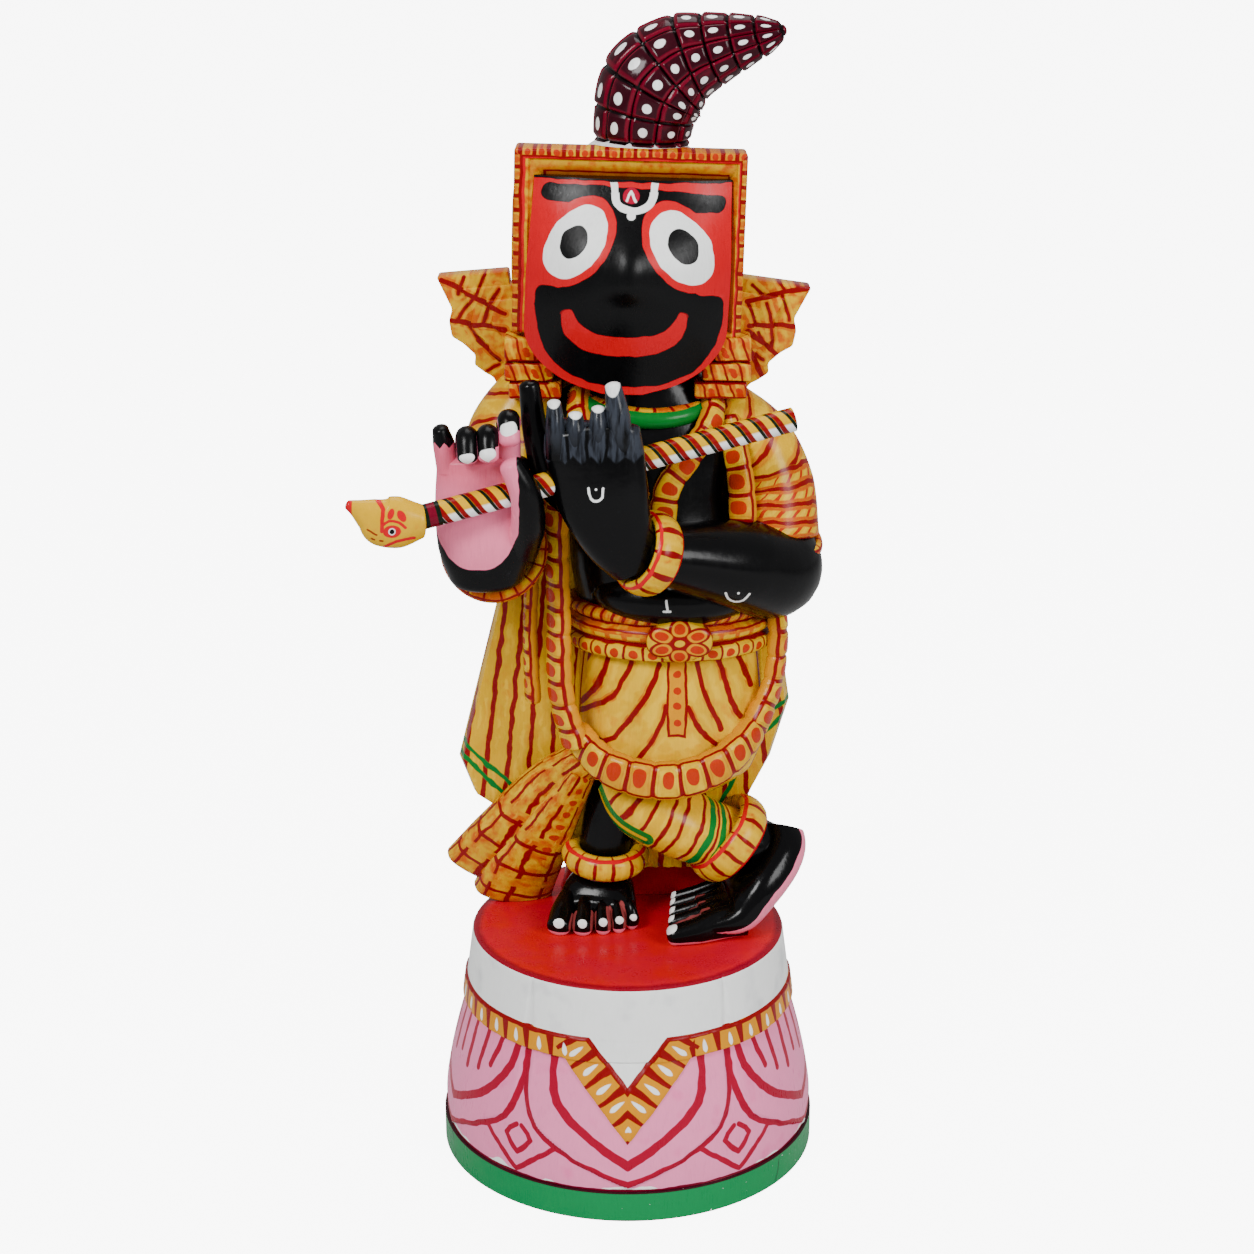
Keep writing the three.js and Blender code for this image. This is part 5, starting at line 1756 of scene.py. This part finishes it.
@recipe("yellow", patchy=0.3)
def paint_collar(coat, p):
    """Collar: green round the neck, yellow with red lines outside."""
    turn, around = coat.chart(1.0)
    flat = coat.flat(turn * 176, around * 36 - 18, 0.5)
    along, across, _ = flat.split()
    coat.dabs(p.orange, flat, 6, 0.5)
    coat.fill(p.line, along.every(8) - 0.8)
    coat.fill(p.line, across.near(1.5, 0.9))
    coat.fill(p.green, abs(across) - 7)


@recipe("yellow", patchy=0.3, rough=0.26)
def paint_sash(coat, p):
    """End of the sash: lines along it and arcs across it, with a row of dots near its root."""
    round_share, along = coat.chart()
    flat = coat.flat((round_share - 0.5) * 90, along, 1.0)
    across, up, _ = flat.split()
    coat.dabs(p.orange, flat, 8, 0.5)
    coat.lay(p.cream_and_highlight, noise(mapped(flat, (0.3, 0.05, 1)), 1.0).rise(0.55, 0.65) * 0.6)
    lines = (across + 2).every(9.5) - 0.95
    coat.fill(p.line, lines.most(up.every(34) - 14))
    dots = far(across - 2.5, up.every(9)) - 2.1
    coat.fill(p.dot, dots.most(up - 62))
    arcs = (up + across * across * 0.012).every(19) - 1.2
    coat.fill(p.line, arcs.most(52 - up))


LEG_LINES = (11, 18, 25.1, 32.2, 38, 45.7, 55, 63.5)


@recipe("yellow")
def paint_leg_cloth(coat, p):
    """Cloth of the crossed leg: red pleats across it, two green bands, and a green hem on the slant."""
    round_share, along = coat.chart()
    flat = coat.flat((round_share - 0.5) * 120, along, 0.7)
    up = flat.split()[1]
    coat.lay(p.cream_and_highlight, noise(mapped(flat, (0.06, 0.3, 1)), 1.0).rise(0.5, 0.6) * 0.8)
    coat.fill(p.green, up.near(51, 1.9).least(up.near(59, 1.8)))
    lines = nearest(up.near(place, 0.9) for place in LEG_LINES)
    coat.fill(p.line, lines)
    x, _, z = coat.body().split()
    hem = coat.strokes(joined_place(x, z), ((-17.5, 82), (-12.3, 71.3), (-4, 64), (9, 58)))
    coat.fill(p.green, hem - 4.4)
    coat.fill(p.yellow, hem - 1.1)


@recipe("ground", {"red_paint": {}}, patchy=0.2, rough=0.3)
def paint_red(coat, p):
    """Red of the pedestal's top, in broad uneven strokes, under a white edge of the cloth."""
    coat.dabs(p.red, coat.body(), 20, 0.5)
    x, y, z = coat.body().split()
    hem = coat.flat(x, z + x * 0.4 - 33.0, 0.8).split()[1]
    ahead = (y - 40).inside()
    coat.lay(p.white, (-2.5 - hem).inside() * ahead)
    coat.lay(p.yellow, (2.5 - hem).inside() * ahead)


# Paints of the flute

@recipe("yellow", patchy=0.2, rough=0.22, hairs=0.015)
def paint_flute(coat, p):
    """Spiral of stripes: yellow above and white below, dark green and red."""
    x, _, z = coat.body().split()
    round_share, along = coat.chart()
    winding = (along / 8.5 + round_share * 2).math("FRACT")
    flat = coat.flat(winding * 8.5, along, 0.3)
    stripe, run, _ = flat.split()
    height = z - (x - FLUTE_FROM[0]) * (FLUTE_ALONG.z / FLUTE_ALONG.x) - FLUTE_FROM[2]
    coat.fill(p.white, height + 0.6, 1.2)
    coat.fill(p.dark_green, stripe.near(4.7, 0.9))
    coat.fill(p.line, stripe.near(7.0, 1.35))
    coat.fill(p.crimson, run - 9)
    coat.fill(p.dark_green, run.near(2.0, 2.2).least(run.near(9, 1.1)))


@recipe("yellow", patchy=0.2, rough=0.22, hairs=0.015)
def paint_bird(coat, p):
    """Bird's head: yellow, with red lines over its brow and along its jaw, and a ringed eye."""
    flat = coat.front(0.3)[0]
    across = flat.split()[0]
    coat.dabs(p.amber, flat, 7, 0.3)
    eye = (-111.2, 239.5)
    brow = ((-115.8, 242.5), (-112.4, 244.9), (-107.8, 243.8), (-105, 241.2))
    jaw = ((-115.5, 231.5), (-109.6, 234.4), (-101.1, 235.6))
    red = coat.strokes(flat, ((-118, 254), (-115, 250.1), (-115.7, 245.1), (-116, 240)))
    red = red.least(coat.strokes(flat, brow) + 0.3)
    red = red.least(coat.strokes(flat, jaw) + 0.2) - 1.0
    red = red.least(coat.shape(flat, eye, 4.3, 3.1))
    red = red.least(coat.shape(flat, (-111.4, 248), 1.5, 2.4, lean=0.25))
    red = red.least(coat.shape(flat, (-106.6, 246.8), 1.9, 2.7, lean=-0.3)).least(across + 129.6)
    coat.fill(p.red, red)
    coat.fill(p.white, dot_at(flat, eye, 1.7))
    coat.fill(p.black, dot_at(flat, eye, 1.25))
    marks = coat.strokes(
        flat, ((-123, 240.6), (-118.5, 238.2)), ((-121, 236.2), (-119.6, 235.6)),
        ((-117, 235.2), (-115.8, 235)))
    coat.fill(p.line, marks - 0.45)


# Paints of the pedestal and the crest

# Outlines painted on a fifth of the pedestal: (round it from a petal's middle, height), in millimetres.
PETAL_EDGE = ((57.0, 86), (56.8, 68.8), (53.6, 55.8), (48, 44.8), (34.6, 35.8), (18.2, 28.4), (0, 20.8))
FRONT_HEART = ((40.6, 86), (39.2, 66.8), (30.4, 53.8), (0, 30.8))
SIDE_HEART = ((50.4, 84), (48, 72), (38, 58), (25.6, 48), (0, 35))
SIDE_RAYS = (((39, 86), (33, 67)), ((26, 86), (23, 62)), ((12, 86), (11, 58)), ((0, 86), (0, 62)))
DIAMONDS = (((36, 36.3), (47.2, 27.3), (57.6, 19.5)), ((57.6, 28.5), (50, 36.5), (56, 43)))


def teardrops(coat, along, across, length):
    """Masks of dark spikes and of the white teardrops between them, across a border from its upper edge."""
    middle, edge, chance = coat.cells(along, length)
    spike = (edge + across * 0.12 - 2.4).most(across - 13)
    drop = coat.shape(joined_place(middle + chance - 0.5, across), (0, 8.2), 1.3, 2.1, 4.7, square=1.6)
    return spike.inside(), drop.inside()


@recipe("lotus", patchy=0.12, rough=0.3)
def paint_stand_side(coat, p):
    """Side of the pedestal: outlined pink petals under an orange border with a white point over it."""
    x, y, z = coat.from_floor().split()
    turn = x.math("ARCTAN2", -y) * (180 / math.pi)
    flat = coat.flat(turn.every(72) * 1.6, z, 0.5)
    coat.dabs(p.blush, coat.from_floor(), 14, 0.3)
    behind = 36 - abs(turn)
    edge = coat.strokes(flat, PETAL_EDGE)
    hearts = coat.strokes(flat, FRONT_HEART)
    side_marks = coat.strokes(flat, SIDE_HEART).least(coat.strokes(flat, *SIDE_RAYS) + 0.6)
    hearts = hearts + (side_marks - hearts) * behind.inside(0.1)
    diamonds = coat.strokes(flat, *DIAMONDS)
    lines = (edge - 1.7).least(hearts - 2.3).least(diamonds - 1.4)
    coat.fill(p.petal, lines)
    side, up, _ = coat.flat(x, z, 0.4).split()
    coat.fill(p.white, up - 16 - noise(coat.from_floor(), 0.05).rise(0.4, 0.7) * 5)
    coat.fill(p.crimson, up - 17.8)
    slant = math.hypot(1, POINT_SLOPE)
    point = (abs(side) * POINT_SLOPE - up + POINT_TIP) / slant
    legs = (abs(side) + up * POINT_SLOPE) / slant
    border = (point - POINT_BORDER).inside()
    trim = (TRIM_TOP - 12 - up).inside()
    coat.lay(p.amber, border.most(trim))
    spikes, drops = teardrops(coat, legs, point * 0.75, POINT_CELL)
    round_spikes, round_drops = teardrops(coat, turn * 1.5 + up * 0.12, TRIM_TOP - up, TRIM_CELL)
    outside = (POINT_BORDER - 5 - point).inside()
    coat.lay(p.line, (border * spikes).most(trim * round_spikes * outside))
    coat.lay(p.white, (border * drops).most(trim * round_drops * outside))
    coat.fill(p.line, up.near(95.4, 1.0))
    coat.fill(p.line, point.near(0.4, 1.3))
    coat.fill(p.white, point + 0.8)


@recipe("white", patchy=0.08, rough=0.38, hairs=0.05)
def paint_stand_cloth(coat, p):
    """White drum of the pedestal, with broad brush marks."""
    coat.dabs(p.dust, coat.body(), 18, 0.35)


@recipe("rim", patchy=0.1, rough=0.3)
def paint_stand_rim(coat, p):
    """Green rim with a few chips down to the primer and two hairline cracks."""
    place = coat.from_floor()
    x, y, z = place.split()
    cracks = coat.strokes(coat.flat(x, z, 0.4), ((-92, 0), (-93.5, 17)), ((78, 2), (80, 15)))
    coat.fill(p.dark_green, (cracks - 0.2).most(y + 20))
    coat.fill(p.maroon, 15.9 - z)
    coat.fill(p.maroon, z - 0.7)
    coat.lay(p.white, noise(place, 0.45, detail=3.0).rise(0.73, 0.75) * noise(place, 0.03).rise(0.5, 0.55))


@recipe("ground", patchy=0.2, rough=0.3)
def paint_stand_top(coat, p):
    """Red top of the pedestal, darker at its edge."""
    place = coat.shaken(coat.from_floor(), 0.6)
    x, y, _ = place.split()
    coat.dabs(p.red, place, 22, 0.5)
    coat.lay(p.crimson, far(x, y).rise(77.5, 80) * 0.7)


@recipe("maroon", patchy=0.4, rough=0.14, hairs=0.02)
def paint_crest(coat, p):
    """Dark glossy scales, each with a white dot; crimson on their edges is painted highlight and the dark
    grooves between them are painted shade.
    """
    round_share, along = coat.chart()
    rows = sizes().crest_rows
    columns = sizes().crest_columns
    flat = coat.flat(round_share * (columns * 10), along / (crest_run() * PART) * 0.01 * rows, 0.3)
    side, up, _ = flat.split()
    across, gap, chance = coat.cells(side, 10)
    high, seam, _ = coat.cells(up, 10)
    # Crimson at each scale's sides and lower end: painted highlight.
    coat.lay(p.crimson, (abs(across) - 3.3).rise(0, 0.5))
    coat.lay(p.crimson, (high + 3.4).inside(0.6) * 0.8)
    coat.lay(p.crimson, noise(flat, 0.12).rise(0.58, 0.7) * 0.5)
    # Near-black in the grooves between the scales: painted shade.
    coat.fill(p.crest_groove_shade, (gap - 0.35).least(seam - 0.55))
    dot = far((across - (chance - 0.5) * 1.2) * 1.2, high + 0.2) - 1.9
    coat.fill(p.white, dot)


@recipe(FLOOR_GREY, patchy=0.015, rough=0.75, hairs=0.0)
def paint_floor(coat, p):
    """Pale floor, a little uneven, that shines white for the camera alone."""
    shader = coat.tree.nodes["Principled BSDF"]
    shader.inputs["Emission Color"].default_value = WHITE
    feed(shader.inputs["Emission Strength"], camera_ray(coat.tree) * FLOOR_GLOW)


def paint_of(name):
    """Paint by name, made once. Black skin has faint grey dabs of painted reflection under the rest."""
    made = bpy.data.materials.get("paint_" + name)
    if made:
        return made
    ground, lay, values, finish = PAINTS[name]
    p = paints()
    coat = Coat("paint_" + name, ground if isinstance(ground, tuple) else getattr(p, ground))
    # Black skin first gets grey dabs of painted reflection.
    if ground == "black":
        coat.dabs(p.painted_sheen, coat.body(), 8, 0.22)
    lay(coat, p, **values)
    return coat.finish(*finish)


# Operators

class TEMPLE_OT_figure(bpy.types.Operator):
    """Carve the figure in one block, from crown to feet, in place of its solid"""
    bl_idname = "temple.figure"
    bl_label = "Carved figure"

    def execute(self, context):
        parts = torso_parts() + [shawl_part(), skirt_part()] + belt_parts() + garland_parts()
        parts += necklace_parts() + left_arm_parts() + left_hand_parts() + right_arm_parts()
        parts += right_hand_parts() + standing_leg_parts() + crossed_leg_parts() + sash_parts()
        parts += [web_part()] + crown_parts() + wing_parts(-1) + wing_parts(1)
        parts += ear_drop_parts(-1) + ear_drop_parts(1)
        figure = combine("figure_carving", parts)
        ground = primitive("cube", size=1)
        settle(ground, lambda p: standing(p * 600 - np.array([0, 0, 300])))
        painted(ground, "red_paint")
        bore = flute_rod(FLUTE_RADIUS + 0.3, 2, "skin")
        figure = combine("figure_carving", [figure, ground, bore], operation="DIFFERENCE")
        drop_flaps(figure)
        smoothed(figure, 40)
        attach(figure, "root")
        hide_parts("figure")
        return {"FINISHED"}


class TEMPLE_OT_flute(bpy.types.Operator):
    """Make the striped flute with its bird's head, in place of its solid"""
    bl_idname = "temple.flute"
    bl_label = "Flute"

    def execute(self, context):
        flute = combine("flute_painted", [flute_rod(FLUTE_RADIUS, 0, "flute"), bird_part()])
        smoothed(flute, 40)
        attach(flute, "root")
        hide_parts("flute")
        return {"FINISHED"}


class TEMPLE_OT_crest(bpy.types.Operator):
    """Carve the horned crest with its rows of scales, in place of its solid"""
    bl_idname = "temple.crest"
    bl_label = "Crest"

    def execute(self, context):
        crest = smoothed(crest_part(), 50)
        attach(crest, "root")
        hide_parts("crest")
        return {"FINISHED"}


class TEMPLE_OT_pedestal(bpy.types.Operator):
    """Turn the lotus pedestal with its petals, trim and point, in place of its solid"""
    bl_idname = "temple.pedestal"
    bl_label = "Pedestal"

    def execute(self, context):
        pedestal = smoothed(stand_part(), 50)
        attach(pedestal, "root")
        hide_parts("pedestal")
        return {"FINISHED"}


class TEMPLE_OT_stage(bpy.types.Operator):
    """Lay the pale floor, the soft lights and the camera"""
    bl_idname = "temple.stage"
    bl_label = "Stage"

    def execute(self, context):
        floor = painted(primitive("plane", size=30, location=(0, 0, -0.0002)), "floor", "studio_floor")
        world = bpy.data.worlds.new("studio")
        context.scene.world = world
        world.use_nodes = True
        background = world.node_tree.nodes["Background"]
        background.inputs["Color"].default_value = WHITE
        feed(background.inputs["Strength"], camera_ray(world.node_tree) * SKY_GLOW + SKY_LIGHT)
        for name, place, size, power in LAMPS:
            lamp = bpy.data.lights.new(name, "AREA")
            lamp.energy = power
            lamp.size = size
            holder = bpy.data.objects.new(name, lamp)
            context.collection.objects.link(holder)
            holder.location = place
            holder.rotation_euler = (LAMP_AIM - Vector(place)).to_track_quat("-Z", "Y").to_euler()
        lens = bpy.data.cameras.new("camera")
        lens.lens = LENS_MM
        lens.sensor_width = SENSOR_MM
        lens.clip_start = 0.05
        camera = bpy.data.objects.new("camera", lens)
        context.collection.objects.link(camera)
        camera.location = CAMERA_PLACE
        camera.rotation_euler = Euler((math.pi / 2 - CAMERA_DROP, 0, 0))
        context.scene.camera = camera
        return {"FINISHED"}


class TEMPLE_PT_panel(bpy.types.Panel):
    """Panel that lists the pieces"""
    bl_label = "Temple Figure"
    bl_idname = "TEMPLE_PT_panel"
    bl_space_type = "VIEW_3D"
    bl_region_type = "UI"
    bl_category = "Temple Figure"

    def draw(self, context):
        column = self.layout.column(align=True)
        for step in STEPS:
            column.operator(step.bl_idname)


STEPS = (TEMPLE_OT_figure, TEMPLE_OT_flute, TEMPLE_OT_crest, TEMPLE_OT_pedestal, TEMPLE_OT_stage)
CLASSES = (TempleFigurePaints, TempleFigureSizes, *STEPS, TEMPLE_PT_panel)


def register():
    for part in CLASSES:
        bpy.utils.register_class(part)
    bpy.types.Scene.temple_figure_paints = bpy.props.PointerProperty(type=TempleFigurePaints)
    bpy.types.Scene.temple_figure_sizes = bpy.props.PointerProperty(type=TempleFigureSizes)


def unregister():
    del bpy.types.Scene.temple_figure_paints
    del bpy.types.Scene.temple_figure_sizes
    for part in reversed(CLASSES):
        bpy.utils.unregister_class(part)


def main():
    register()
    bpy.ops.temple.figure()
    bpy.ops.temple.flute()
    bpy.ops.temple.crest()
    bpy.ops.temple.pedestal()
    bpy.ops.temple.stage()


if __name__ == "__main__":
    main()
